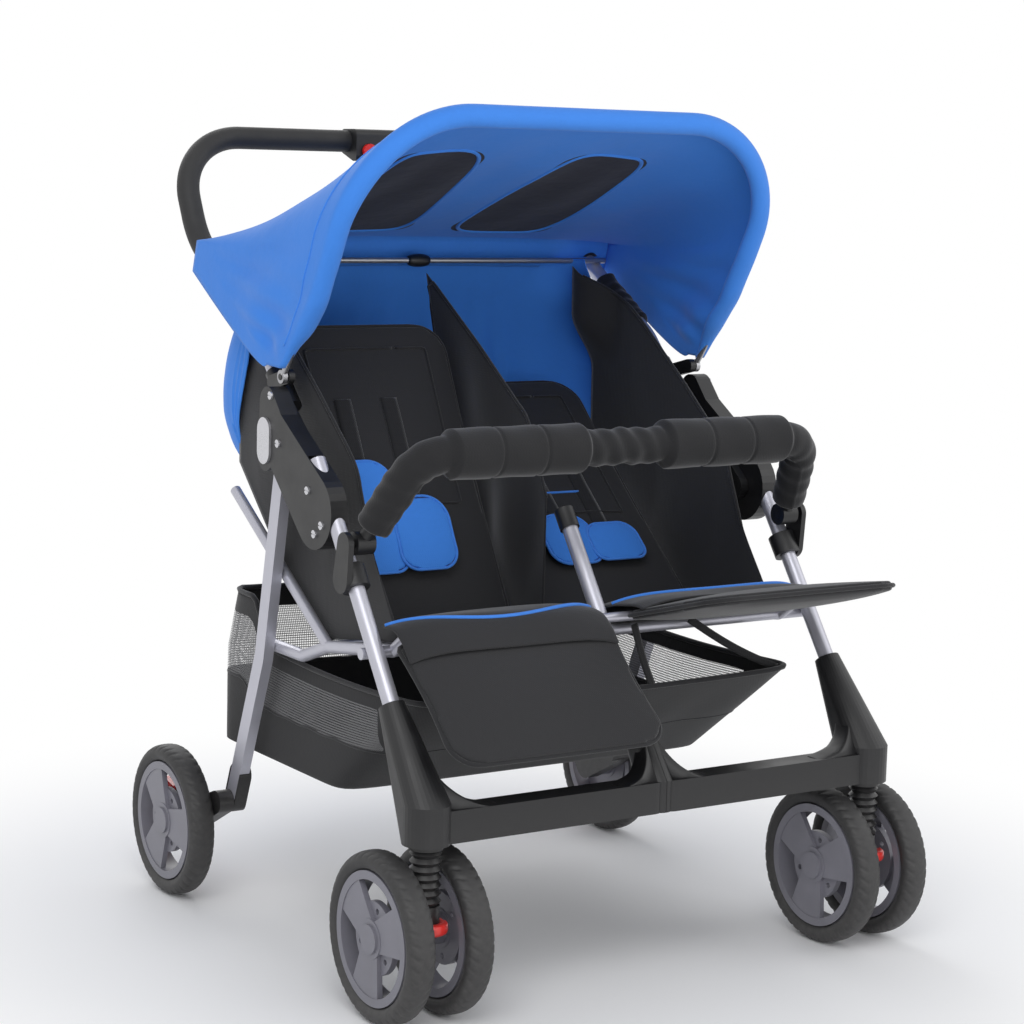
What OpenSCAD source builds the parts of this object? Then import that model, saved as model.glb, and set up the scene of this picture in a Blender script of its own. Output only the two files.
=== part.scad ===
// Side-by-side twin pram with a folding tube frame, two seats and one hood.
// +Z is up and the pram's front faces -Y. The child's right side is at -X.
// Right and left pieces share one module, with side = -1 for right and 1 for left.

/* [Front legs] */
// Distance of the outer front legs from the middle plane
leg_x = 323; // [318:1:328]
// Outside diameter of the front leg tubes
leg_d = 20; // [18:0.5:20]
// Lean of the front legs from upright, in degrees
leg_lean = 35.4; // [34:0.1:37]
// Front-to-back place where a leg leaves its footrest moulding
leg_foot_y = -231; // [-236:1:-226]
// Height of that place
leg_foot_z = 354; // [350:1:358]
// Length of an outer leg above its moulding
leg_len = 323; // [300:1:330]
// Length of the middle leg above its moulding
mid_leg_len = 233; // [210:1:240]
// Depth to which a leg is plugged into its moulding
leg_plug = 50; // [30:1:55]

/* [Side plates] */
// Front-to-back place of the frame hinge
fold_y = -55; // [-58:1:-52]
// Height of the frame hinge
fold_z = 557; // [554:1:560]
// Front-to-back place of the rear leg hub
hub_y = 71; // [68:1:74]
// Height of the rear leg hub
hub_z = 629; // [626:1:632]
// Thickness of a side plate
plate_t = 23; // [22.5:0.5:26]
// Radius of the round hinge housing
house_r = 46; // [42:1:48]
// Radius of the plate round the hub
hub_r = 33; // [30:1:34]
// Width of the silver oval cap
oval_w = 32; // [26:1:36]
// Height of the silver oval cap
oval_h = 58; // [48:1:62]
// Diameter of the frame hinge pin
fold_pin_d = 16; // [12:1:20]
// Diameter of the hub pin
hub_pin_d = 14; // [10:1:16]

/* [Handle] */
// Distance of the handle tube from the middle plane
handle_x = 297; // [295:0.5:297]
// Outside diameter of the handle tube
handle_d = 22; // [20:0.5:22]
// Front-to-back place of the handle tube's lower end
handle_foot_y = 83; // [82:1:86]
// Height of the handle tube's lower end
handle_foot_z = 676; // [675:1:679]
// Front-to-back place of the knee above the side plate
knee_y = 150; // [145:1:155]
// Height of that knee
knee_z = 744; // [740:1:748]
// Front-to-back place of the bend below the hand grip
bend_y = 345; // [340:1:350]
// Height of that bend
bend_z = 868; // [864:1:872]
// Front-to-back place of the hand grip's bar
bar_y = 411; // [406:1:416]
// Height of the hand grip's bar
bar_z = 1000; // [990:1:1010]
// Radius of the two bends in the side view
bend_r = 110; // [80:1:130]
// Radius of the grip's corners
corner_r = 92; // [80:1:105]
// Diameter of the foam grip
grip_d = 30; // [27:0.5:32]
// Diameter of the fabric sleeve on the handle tube
sleeve_d = 34; // [30:0.5:34]
// Width of the latch housing in the middle of the grip
latch_w = 76; // [70:1:90]
// Diameter of the fold button
button_d = 20; // [16:0.5:22]
// Travel of the fold button
button_travel = 4; // [3:0.5:6]

/* [Rear legs] */
// Thickness of the flat rear leg tube
rear_t = 14; // [12:0.5:14]
// Width of the flat rear leg tube
rear_w = 24; // [20:0.5:25]
// Front-to-back place of the rear leg's knee
rear_knee_y = 127; // [122:1:132]
// Height of the rear leg's knee
rear_knee_z = 345; // [335:1:355]
// Front-to-back place of the rear leg's lower end
rear_end_y = 207; // [202:1:212]
// Height of the rear leg's lower end
rear_end_z = 140; // [136:1:144]

/* [Wheels] */
// Outside diameter of all the wheels
wheel_d = 200; // [196:1:204]
// Width of a tyre
tyre_w = 35; // [32:0.5:35]
// Radius of a rim where the tyre sits
rim_r = 78; // [74:0.5:80]
// Width of a rim
rim_w = 30; // [26:0.5:31]
// Radius of a hub
wheel_hub_r = 18; // [16:0.5:20]
// Distance of a rear wheel from the middle plane
rear_wheel_x = 352; // [351:1:358]
// Front-to-back place of the rear axles
rear_axle_y = 293; // [289:1:297]
// Diameter of a rear axle
rear_axle_d = 12; // [10:0.5:14]

/* [Casters] */
// Front-to-back place of a caster's swivel
king_y = -313; // [-316:1:-310]
// Trail of a caster's axle behind its swivel
trail = 30; // [26:1:34]
// Distance of a caster wheel from its swivel plane
twin_x = 38.5; // [38.5:0.5:42]
// Diameter of a caster axle
front_axle_d = 10; // [8:0.5:12]
// Height of the underside of the footrest moulding
moulding_z = 212; // [210:1:216]
// Diameter of the swivel stem
stem_d = 16; // [14:0.5:18]
// Diameter of the guide post in the bellows
guide_d = 14; // [12:0.5:14]
// Outer radius of the bellows
bellows_r = 18.5; // [16:0.5:19]
// Count of ribs on the bellows
bellows_ribs = 7; // [5:1:9]
// Travel of a caster spring
spring_travel = 10; // [8:1:11]

/* [Seats] */
// Distance of a seat's middle from the pram's middle plane
seat_x = 146; // [144:1:148]
// Width of a seat pad
seat_w = 250; // [240:1:252]
// Diameter of the seat frame tubes
seat_tube_d = 16; // [14:0.5:16]
// Distance of the seat frame's side tubes from the middle plane
seat_tube_x = 288; // [287.5:0.5:288]
// Place of the front cross tube along the front legs
seat_bar_d = 75; // [70:1:80]
// Front-to-back place of the rear cross tube, on which the backrests turn
recline_y = -16; // [-20:1:-12]
// Height of that tube
recline_z = 382; // [378:1:386]
// Thickness of a seat pad at its edge
pad_edge = 12; // [8:1:14]
// Height of a pad's crown above its edge
pad_crown = 12; // [6:1:16]
// Length of a backrest
backrest_len = 425; // [400:1:430]
// Slope of the upright backrest, in degrees
upright_deg = 62.3; // [60:0.1:64]
// Slope of the reclined backrest, in degrees
recline_deg = 42; // [40:0.5:46]
// Length of a leg rest
leg_rest_len = 190; // [170:1:195]
// Width of a leg rest
leg_rest_w = 266; // [250:1:266]
// How much further each leg rest reaches out past its hinge on the outer side
leg_rest_out = 30; // [20:1:32]
// Front-to-back place of the leg rest hinge bar
shin_y = -206; // [-209:1:-204]
// Height of the leg rest hinge bar
shin_z = 428; // [426:1:431]
// Diameter of the leg rest hinge bar
shin_d = 12; // [10:0.5:12]
// Slope of the lowered leg rest below level, in degrees
lowered_deg = 40; // [35:1:45]
// Slope of the raised leg rest above level, in degrees
raised_deg = 15; // [5:1:16]
// Thickness of a fabric side wall
wing_t = 3; // [2:0.5:3]

/* [Bumper bar] */
// Diameter of the bumper bar's tube
bumper_d = 18; // [14:0.5:20]
// Radius of the foam on the bumper bar
foam_r = 25; // [22:0.5:26]
// Radius of the two thick wraps on the foam
wrap_r = 31; // [28:0.5:32]
// Distance of the bumper bar's feet from the middle plane
bumper_x = 316; // [315:0.5:317]
// Distance of the bumper bar's corners from the middle plane
bumper_corner_x = 282; // [276:1:286]
// Front-to-back place of the bumper bar
bumper_y = -215; // [-220:1:-210]
// Height of the bumper bar
bumper_z = 640; // [636:1:648]
// Place of the bumper bar's pivot along the front legs
bumper_leg_d = 195; // [190:1:200]

/* [Hood] */
// Distance of the hood's bow from the middle plane
bow_x = 316; // [316:0.5:318]
// Diameter of the bow wire
bow_d = 8; // [6:0.5:8]
// Front-to-back place of the bow's pivots
socket_y = 62; // [60:1:64]
// Height of the bow's pivots
socket_z = 708; // [708:1:712]
// Front-to-back place of the bow's top
bow_top_y = -108; // [-112:1:-100]
// Height of the bow's top
bow_top_z = 1030; // [1020:1:1036]
// Radius of the bow's top corners
bow_corner_r = 165; // [140:1:170]
// Place of the cross rod along the straight part of the handle tube, as a share of it
rod_share = 0.68; // [0.65:0.01:0.7]
// Thickness of the hood's cloth
cloth_t = 3; // [2:0.5:4]
// Width of the rear curtain
curtain_w = 552; // [500:1:552]
// Height of the rear curtain's lower edge
curtain_low_z = 470; // [455:1:500]
// Depth of the rear curtain's folds
curtain_fold = 5; // [3:0.5:7]
// Count of the rear curtain's folds
curtain_folds = 7; // [5:1:9]

/* [Basket] */
// Thickness of the basket's walls
basket_t = 3; // [2:0.5:4]
// Height of the basket's floor
basket_low_z = 207; // [203:1:212]
// Front-to-back place of the basket's rear wall
basket_rear_y = 312; // [306:1:316]
// Front-to-back place of the basket's front lip
basket_front_y = -232; // [-236:1:-226]
// Height of the basket's sides
basket_side_z = 346; // [335:1:350]
// Height of the basket's rear collar
basket_rear_z = 408; // [390:1:414]

/* [Hidden] */
$fn = 48;
hull_fn = 32;
// Running gap between pieces that move, and fit of pieces that seat
gap = 0.5;
fit = 0.3;
over = 1;

// Side-view places derived from the driving sizes, each as [y, z]
function leg_at(d) = [leg_foot_y + d * sin(leg_lean), leg_foot_z + d * cos(leg_lean)];
function off_leg(d, n) = leg_at(d) + n * [-cos(leg_lean), sin(leg_lean)];
function side_point(side, x, p) = [side * x, p[0], p[1]];
function mix(a, b, share) = a + (b - a) * share;
fold_at = [fold_y, fold_z];
hub_at = [hub_y, hub_z];
foot_at = [handle_foot_y, handle_foot_z];
knee_at = [knee_y, knee_z];
bend_at = [bend_y, bend_z];
bar_at = [bar_y, bar_z];
socket_at = [socket_y, socket_z];
recline_at = [recline_y, recline_z];
shin_at = [shin_y, shin_z];
seat_tube_r = seat_tube_d / 2;
cross_step = 1;
cross_tube_r = seat_tube_r - cross_step;
seat_bar_at = off_leg(seat_bar_d, -(leg_d / 2 + cross_tube_r + fit));
leg_bore_r = leg_d / 2 + fit / 2;

// Side plates lie outside the rear legs and the hinge arms
plate_in = leg_x - plate_t / 2;
plate_out = leg_x + plate_t / 2;
slab_out = plate_in - gap;
rear_in = slab_out - rear_t;
arm_t = 12;
socket_wall = 3;
socket_r = handle_d / 2 + socket_wall;

// Wheels
wheel_r = wheel_d / 2;
rear_axle_at = [rear_axle_y, wheel_r];
front_axle_y = king_y + trail;

// Depth of the backrests' and leg rests' flat faces below their hinges
pad_drop = 6;

// Colours
black = "#202022";
soft_black = "#2a2a2d";
silver = "#a9a8b4";
blue = "#2f6fd6";
red = "#d62c22";

// Shapes that repeat

// A round bar from a to b
module rod(a, b, r) {
    v = b - a;
    translate(a)
        rotate([0, acos(v[2] / norm(v)), atan2(v[1], v[0])])
            cylinder(h = norm(v), r = r);
}

// A bent round bar through points, with one bend radius for each inner point.
// Each bend is a hair thicker than the straight lengths that run into it.
bend_bead = 0.06;
bend_lap = 1.5;
function lap(r) = min(bend_lap, sqrt(bend_bead * r));
module bent_rod(points, radii, r) {
    last = len(points) - 1;
    dir = [for (i = [0:last - 1]) (points[i + 1] - points[i]) / norm(points[i + 1] - points[i])];
    turn = [for (i = [0:last]) i == 0 || i == last ? 0 : acos(dir[i - 1] * dir[i])];
    cut = [for (i = [0:last]) i == 0 || i == last ? 0 : radii[i - 1] * tan(turn[i] / 2)];
    for (i = [0:last - 1]) {
        from = i == 0 ? 0 : cut[i] - lap(radii[i - 1]);
        to = i == last - 1 ? 0 : cut[i + 1] - lap(radii[i]);
        rod(points[i] + dir[i] * from, points[i + 1] - dir[i] * to, r);
    }
    for (i = [1:last - 1]) {
        side_dir = dir[i] - dir[i - 1] * (dir[i - 1] * dir[i]);
        inward = side_dir / norm(side_dir);
        center = points[i] - dir[i - 1] * cut[i] + inward * radii[i - 1];
        up = cross(-inward, dir[i - 1]);
        multmatrix([for (k = [0:2]) [-inward[k], dir[i - 1][k], up[k], center[k]]])
            rotate_extrude(angle = turn[i])
                translate([radii[i - 1], 0])
                    circle(r = r + bend_bead);
    }
}

// A flat piece with a side-view outline, between two distances from the middle plane
module side_slab(side, x_in, x_out) {
    translate([side > 0 ? x_in : -x_out, 0, 0])
        rotate([90, 0, 90])
            linear_extrude(height = x_out - x_in)
                children();
}

// A disc in the side view
module disc(p, r) {
    translate(p)
        circle(r = r, $fn = hull_fn);
}

// A round pin or bore across the pram, between two distances from the middle plane
module cross_pin(side, p, r, x_in, x_out) {
    translate([side > 0 ? x_in : -x_out, p[0], p[1]])
        rotate([0, 90, 0])
            cylinder(h = x_out - x_in, r = r);
}

// A closed sheet between two surfaces that are functions of shares u and v.
// The outer surface's outward side is where a step in u, crossed with a step in v, points.
module sheet_solid(nu, nv, outer, inner) {
    row = nv + 1;
    count = (nu + 1) * row;
    points = concat(
        [for (i = [0:nu]) for (j = [0:nv]) outer(i / nu, j / nv)],
        [for (i = [0:nu]) for (j = [0:nv]) inner(i / nu, j / nv)]
    );
    function quad(a, b, c, d) = [[a, b, c], [a, c, d]];
    top = [for (i = [0:nu - 1]) for (j = [0:nv - 1]) let (a = i * row + j)
        each quad(a, a + 1, a + row + 1, a + row)];
    low = [for (i = [0:nu - 1]) for (j = [0:nv - 1]) let (a = count + i * row + j)
        each quad(a, a + row, a + row + 1, a + 1)];
    ends = [for (i = [0:nu - 1]) let (a = i * row, b = a + nv)
        each concat(quad(a, a + row, count + a + row, count + a),
                    quad(b + row, b, count + b, count + b + row))];
    sides = [for (j = [0:nv - 1]) let (a = j, b = nu * row + j)
        each concat(quad(a + 1, a, count + a, count + a + 1),
                    quad(b, b + 1, count + b + 1, count + b))];
    polyhedron(points = points, faces = concat(top, low, ends, sides));
}

// A pad lying along +Y, flat below, crowned above, with drawn-in sides and sewn channels
pad_steps = 12;
small_pad_steps = 8;
channel_share = 0.45;
draw_in_share = 0.05;
module pad(w, l, edge, crown, channels, steps) {
    function swell(s) = 1 - pow(abs(2 * s - 1), 3);
    function groove(v) = channels == 0 ? 0 : pow(abs(cos(180 * channels * v)), 12);
    function plan(u, v) = [(u - 0.5) * w * (1 - draw_in_share * swell(v)), v * l];
    function rise(u, v) = edge + crown * swell(u) * swell(v) * (1 - channel_share * groove(v));
    sheet_solid(steps, steps + 4,
        function (u, v) concat(plan(u, v), [rise(u, v)]),
        function (u, v) concat(plan(u, v), [0]));
}

// Front legs and footrests

module front_leg(x, len) {
    color(silver)
        rod(concat([x], leg_at(-leg_plug)), concat([x], leg_at(len)), leg_d / 2);
}

module front_leg_right() front_leg(-leg_x, leg_len);
module front_leg_left() front_leg(leg_x, leg_len);
module front_leg_center() front_leg(0, mid_leg_len);

cap_len = 24;
cap_wall = 2.5;
module center_leg_cap() {
    color(black)
        difference() {
            rod(concat([0], leg_at(mid_leg_len - cap_len)), concat([0], leg_at(mid_leg_len + cap_wall)),
                leg_bore_r + cap_wall);
            rod(concat([0], leg_at(mid_leg_len - cap_len - over)), concat([0], leg_at(mid_leg_len + fit)),
                leg_bore_r);
        }
}

// One U-shaped moulding: an outer arm, a bar to step on and half of the middle arm
collar_r = 16;
collar_len = 16;
block_r = 28;
block_h = 46;
step_r = 17;
step_h = 38;
seam = 0.6;
module arm_collar(x) {
    rod(concat([x], leg_at(-collar_len)), concat([x], leg_at(0)), collar_r, $fn = hull_fn);
}
module step_post(x, r, h) {
    translate([x, king_y, moulding_z])
        cylinder(h = h, r = r, $fn = hull_fn);
}
module footrest(side) {
    color(black)
        difference() {
            union() {
                hull() {
                    arm_collar(side * leg_x);
                    step_post(side * leg_x, block_r, block_h);
                }
                hull() {
                    step_post(side * leg_x, step_r, step_h);
                    step_post(side * collar_r, step_r, step_h);
                }
                hull() {
                    arm_collar(0);
                    step_post(0, step_r, step_h);
                }
            }
            translate([side > 0 ? -leg_x : -seam / 2, -leg_x * 2, 0])
                cube([leg_x + seam / 2, leg_x * 4, leg_foot_z * 2]);
            for (x = [side * leg_x, 0])
                rod(concat([x], leg_at(-leg_plug - fit)), concat([x], leg_at(over)), leg_bore_r);
            translate([side * leg_x, king_y, moulding_z - over])
                cylinder(h = block_h + over - socket_wall, r = stem_d / 2 + gap / 2);
        }
}
module footrest_right() footrest(-1);
module footrest_left() footrest(1);

// Side plates with their hinge pins

top_r = 20;
top_rise = 47;
top_at = hub_at + [-top_r / 4, top_rise];
lobe_r = 19;
waist_at = hub_at + [-top_r, top_r / 2];
leg_pocket = 4;
bore_reach = (fold_at[1] + house_r + leg_d - leg_foot_z) / cos(leg_lean);
module side_plate(side) {
    color(black)
        difference() {
            union() {
                side_slab(side, plate_in, plate_out) {
                    hull() {
                        disc(fold_at, house_r);
                        disc(waist_at, hub_r);
                    }
                    hull() {
                        disc(waist_at, hub_r);
                        disc(top_at, top_r);
                        disc(hub_at - [0, lobe_r], lobe_r);
                    }
                }
                cross_pin(side, fold_at, fold_pin_d / 2, plate_in - gap - arm_t, plate_in + over);
                cross_pin(side, hub_at, hub_pin_d / 2, rear_in, plate_in + over);
            }
            rod(side_point(side, leg_x, leg_at(0)),
                side_point(side, leg_x, leg_at(max(leg_len + leg_pocket, bore_reach))), leg_bore_r);
        }
}
module side_plate_right() side_plate(-1);
module side_plate_left() side_plate(1);

oval_t = 3;
module oval_caps() {
    color(silver)
        for (side = [-1, 1])
            side_slab(side, plate_out, plate_out + oval_t)
                hull() {
                    disc(hub_at + [0, (oval_h - oval_w) / 2], oval_w / 2);
                    disc(hub_at - [0, (oval_h - oval_w) / 2], oval_w / 2);
                }
}

// Slotted screws on the plates' outer faces
screw_r = 5;
screw_h = 2.4;
slot_w = 1.4;
house_screw_r = 27;
house_screw_degs = [62, 211, 257];
top_screw_at = top_at + [-top_r / 2, top_r / 2];
module screw(side, p) {
    difference() {
        cross_pin(side, p, screw_r, plate_out, plate_out + screw_h);
        translate([side * (plate_out + screw_h), p[0], p[1]])
            cube([screw_h, 4 * screw_r, slot_w], center = true);
    }
}
module frame_screws() {
    color(silver)
        for (side = [-1, 1]) {
            for (a = house_screw_degs)
                screw(side, fold_at + house_screw_r * [cos(a), sin(a)]);
            screw(side, hub_at - [hub_r + screw_r / 2, 0]);
            screw(side, top_screw_at);
        }
}

// Seat frame: cross tubes, side tubes, the sloping back tubes and the basket tubes

back_tube_len = 306;
back_tube_deg = 32;
basket_knee = [66, -23];
basket_knee_at = recline_at + basket_knee;
basket_tube_len = 108;
module seat_frame() {
    color(silver) {
        for (side = [-1, 1]) {
            bent_rod([for (p = [shin_at, seat_bar_at, recline_at, basket_knee_at,
                basket_knee_at + [basket_tube_len, 0]]) side_point(side, seat_tube_x, p)],
                [seat_tube_d, seat_tube_d * 2, seat_tube_d * 2], seat_tube_r);
            rod(side_point(side, seat_tube_x, recline_at), side_point(side, seat_tube_x,
                recline_at + back_tube_len * [cos(back_tube_deg), sin(back_tube_deg)]), cross_tube_r);
        }
        cross_pin(1, seat_bar_at, cross_tube_r, -leg_x - leg_d / 2, leg_x + leg_d / 2);
        cross_pin(1, recline_at, cross_tube_r, -seat_tube_x, seat_tube_x);
        cross_pin(1, shin_at, shin_d / 2, -seat_tube_x, seat_tube_x);
    }
}

// Basket: an open cloth tray with a sloping front and a raised rear collar.
// Its front lip is cut round the middle arm of the footrests.

basket_x = seat_tube_x - seat_tube_r - fit;
collar_tuck = 26;
collar_drop = 78;
floor_front_y = -34;
slope_y = -140;
slope_z = 280;
rise_y = 150;
collar_front_y = 215;
module basket() {
    color(black)
        difference() {
            side_slab(1, -basket_x, basket_x)
                polygon([[basket_rear_y - collar_tuck, basket_rear_z], [basket_rear_y, basket_rear_z - collar_drop],
                    [basket_rear_y, basket_low_z], [floor_front_y, basket_low_z], [slope_y, slope_z],
                    [basket_front_y, basket_side_z], [rise_y, basket_side_z], [collar_front_y, basket_rear_z]]);
            side_slab(1, -basket_x + basket_t, basket_x - basket_t)
                polygon([[basket_rear_y - collar_tuck - basket_t, basket_rear_z + over],
                    [basket_rear_y - basket_t, basket_rear_z - collar_drop],
                    [basket_rear_y - basket_t, basket_low_z + basket_t],
                    [floor_front_y + basket_t, basket_low_z + basket_t],
                    [slope_y + basket_t, slope_z + basket_t],
                    [basket_front_y + 2 * basket_t, basket_side_z + over],
                    [basket_front_y + 2 * basket_t, basket_rear_z + over]]);
            rod(concat([0], leg_at(-2 * collar_len)), concat([0], leg_at(2 * collar_len)), step_r + fit);
        }
}

// A bent wire behind the basket's rear wall, which holds the collar up and carries the floor
stay_r = 2.5;
stay_lean = 12;
stay_under = 120;
stay_bend_r = 14;
stay_x = 200;
module basket_stay() {
    slope = [collar_tuck, -collar_drop] / norm([collar_tuck, collar_drop]);
    off = stay_r + fit;
    top = [basket_rear_y - collar_tuck, basket_rear_z] + stay_r * slope + off * [-slope[1], slope[0]];
    elbow = top + (basket_rear_y + off - top[0]) / slope[0] * slope;
    low = [basket_rear_y + off + stay_lean, basket_low_z - off];
    under = low - [stay_under, 0];
    color(silver)
        bent_rod([for (p = [under, low, elbow, top]) side_point(-1, stay_x, p),
            for (p = [top, elbow, low, under]) side_point(1, stay_x, p)],
            [for (i = [1:6]) stay_bend_r], stay_r);
}

// Seat pads, walls and harness pads

seat_dir = (recline_at - seat_bar_at) / norm(recline_at - seat_bar_at);
seat_deg = atan2(seat_dir[1], seat_dir[0]);
pad_front = 22;
pad_rear_gap = 18;
module on_seat(side) {
    p = seat_bar_at - pad_front * seat_dir + (cross_tube_r + fit) * [-seat_dir[1], seat_dir[0]];
    translate([side * seat_x, p[0], p[1]])
        rotate([seat_deg, 0, 0])
            children();
}
seat_len = norm(recline_at - seat_bar_at) + pad_front - pad_rear_gap;
module seat_pad(side) {
    color(soft_black)
        on_seat(side)
            pad(seat_w, seat_len, pad_edge, pad_crown, 3, pad_steps);
}
module seat_pad_right() seat_pad(-1);
module seat_pad_left() seat_pad(1);

wing_top_share = 0.4;
wing_back_share = 0.8;
wing_x = seat_tube_x - seat_tube_r - fit;
module side_wing(side) {
    color(black)
        side_slab(side, wing_x - wing_t, wing_x)
            polygon([fold_at + [0, house_r], waist_at + [0, hub_r], knee_at,
                mix(knee_at, bend_at, wing_top_share),
                recline_at + wing_back_share * backrest_len * [cos(recline_deg), sin(recline_deg)],
                recline_at + [seat_tube_d, cross_tube_r], recline_at + [0, cross_tube_r + fit],
                seat_bar_at + [0, cross_tube_r + fit], fold_at - [house_r, house_r]]);
}
module side_wing_right() side_wing(-1);
module side_wing_left() side_wing(1);

mid_wing_top_share = 0.4;
mid_wing_low_share = 0.55;
module center_wing() {
    low_z = recline_z + cross_tube_r + fit;
    color(black)
        side_slab(1, -wing_t / 2, wing_t / 2)
            polygon([mix(knee_at, bend_at, mid_wing_top_share), fold_at + [house_r, 2 * house_r], fold_at,
                [fold_y, low_z], [recline_y + seat_tube_r, low_z],
                recline_at + mid_wing_low_share * backrest_len * [cos(recline_deg), sin(recline_deg)]]);
}

// A pad's two hinge loops round a tube of radius r, joining the pad at distance reach
loop_w = 30;
loop_wall = 3;
loop_spread_share = 0.3;
module hinge_loops(w, r, reach) {
    for (k = [-1, 1])
        translate([k * w * loop_spread_share - loop_w / 2, 0, 0])
            difference() {
                union() {
                    rotate([0, 90, 0])
                        cylinder(h = loop_w, r = r + fit + loop_wall);
                    translate([0, 0, -pad_drop / 2])
                        cube([loop_w, reach, pad_drop / 2 + loop_wall]);
                }
                translate([-over, 0, 0])
                    rotate([0, 90, 0])
                        cylinder(h = loop_w + 2 * over, r = r + fit);
            }
}

backrest_reach = 20;
module backrest(side, slope) {
    color(soft_black)
        translate([side * seat_x, recline_y, recline_z])
            rotate([slope, 0, 0]) {
                hinge_loops(seat_w, cross_tube_r, backrest_reach + over);
                translate([0, backrest_reach, -pad_drop])
                    pad(seat_w, backrest_len - backrest_reach, pad_edge, pad_crown, 4, pad_steps);
            }
}
module backrest_right() backrest(-1, upright_deg);
module backrest_left() backrest(1, recline_deg);

// The harness pads lie on the backrests and recline with them
harness_w = 150;
harness_hs = [150, 84];
harness_t = 6;
harness_crown = 5;
harness_shifts = [-20, 4];
harness_place = 82;
module harness(side, slope, shift, h) {
    color(blue)
        translate([side * seat_x, recline_y, recline_z])
            rotate([slope, 0, 0])
                translate([shift, harness_place, pad_edge + pad_crown - pad_drop + fit])
                    pad(harness_w, h, harness_t, harness_crown, 1, small_pad_steps);
}
module harness_right() harness(-1, upright_deg, harness_shifts[0], harness_hs[0]);
module harness_left() harness(1, recline_deg, harness_shifts[1], harness_hs[1]);

shin_reach = 14;
module leg_rest(side, slope) {
    color(soft_black)
        translate([side * seat_x, shin_y, shin_z])
            rotate([-slope, 0, 0])
                rotate([0, 0, 180]) {
                    hinge_loops(leg_rest_w, shin_d / 2, shin_reach + over);
                    translate([-side * leg_rest_out / 2, shin_reach, -pad_drop])
                        pad(leg_rest_w + leg_rest_out, leg_rest_len - shin_reach, pad_edge, pad_crown,
                            0, pad_steps);
                }
}
module leg_rest_right() leg_rest(-1, -lowered_deg);
module leg_rest_left() leg_rest(1, raised_deg);

// Bumper bar on its brackets

bumper_off = 30;
bumper_at = off_leg(bumper_leg_d, bumper_off);
clamp_r = 17;
clamp_len = 28;
clamp_top = 17;
eye_r = 14;
eye_w = 24;
bumper_pin_d = 10;
cheek_gap = 1;
cheek_in = leg_x + leg_d / 2 + cheek_gap;
cheek_t = 7;
bumper_bend_r = 45;
module bumper_brackets() {
    color(black)
        for (side = [-1, 1]) {
            difference() {
                union() {
                    rod(side_point(side, leg_x, leg_at(bumper_leg_d - clamp_top - clamp_len)),
                        side_point(side, leg_x, leg_at(bumper_leg_d - clamp_top)), clamp_r);
                    side_slab(side, cheek_in, cheek_in + cheek_t)
                        hull() {
                            disc(leg_at(bumper_leg_d - clamp_top - clamp_len / 2), clamp_r);
                            disc(bumper_at, eye_r);
                        }
                }
                rod(side_point(side, leg_x, leg_at(bumper_leg_d - clamp_top - clamp_len - over)),
                    side_point(side, leg_x, leg_at(bumper_leg_d)), leg_bore_r);
            }
            cross_pin(side, bumper_at, bumper_pin_d / 2, bumper_x - eye_w / 2, cheek_in + cheek_t);
        }
}

function bumper_path() = [side_point(-1, bumper_x, bumper_at), [-bumper_corner_x, bumper_y, bumper_z],
    [bumper_corner_x, bumper_y, bumper_z], side_point(1, bumper_x, bumper_at)];
module bumper_bar() {
    color(black)
        difference() {
            union() {
                bent_rod(bumper_path(), [bumper_bend_r, bumper_bend_r], bumper_d / 2);
                for (side = [-1, 1])
                    cross_pin(side, bumper_at, eye_r, bumper_x - eye_w / 2, bumper_x + eye_w / 2);
            }
            for (side = [-1, 1])
                cross_pin(side, bumper_at, bumper_pin_d / 2 + fit, bumper_x - eye_w, bumper_x + eye_w);
        }
}

foam_start_share = 0.16;
wrap_in = 60;
wrap_out = 245;
module bumper_foam() {
    path = bumper_path();
    ends = [mix(path[0], path[1], foam_start_share), mix(path[3], path[2], foam_start_share)];
    color(soft_black)
        difference() {
            union() {
                bent_rod([ends[0], path[1], path[2], ends[1]], [bumper_bend_r, bumper_bend_r], foam_r);
                for (side = [-1, 1])
                    cross_pin(side, [bumper_y, bumper_z], wrap_r, wrap_in, wrap_out);
            }
            bent_rod(path, [bumper_bend_r, bumper_bend_r], bumper_d / 2 + fit);
        }
}

// Handle frame

function handle_side(side) = [side_point(side, handle_x, foot_at), side_point(side, handle_x, knee_at),
    side_point(side, handle_x, bend_at), side_point(side, handle_x, bar_at)];
handle_path = [for (i = [0:7]) i < 4 ? handle_side(-1)[i] : handle_side(1)[7 - i]];
handle_radii = [bend_r, bend_r, corner_r, corner_r, bend_r, bend_r];
module handle_tube() {
    color(silver)
        bent_rod(handle_path, handle_radii, handle_d / 2);
}

grip_start_share = 0.76;
module handle_grips() {
    color(soft_black)
        for (side = [-1, 1]) {
            start = side_point(side, handle_x, mix(knee_at, bend_at, grip_start_share));
            end = side_point(side, latch_w / 2, bar_at);
            below = (start - side_point(side, handle_x, bend_at));
            difference() {
                bent_rod([start, handle_side(side)[2], handle_side(side)[3], end],
                    [bend_r, corner_r], grip_d / 2);
                bent_rod([start + below, handle_side(side)[2], handle_side(side)[3], end - [side * over, 0, 0]],
                    [bend_r, corner_r], handle_d / 2 + fit);
            }
        }
}

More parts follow.
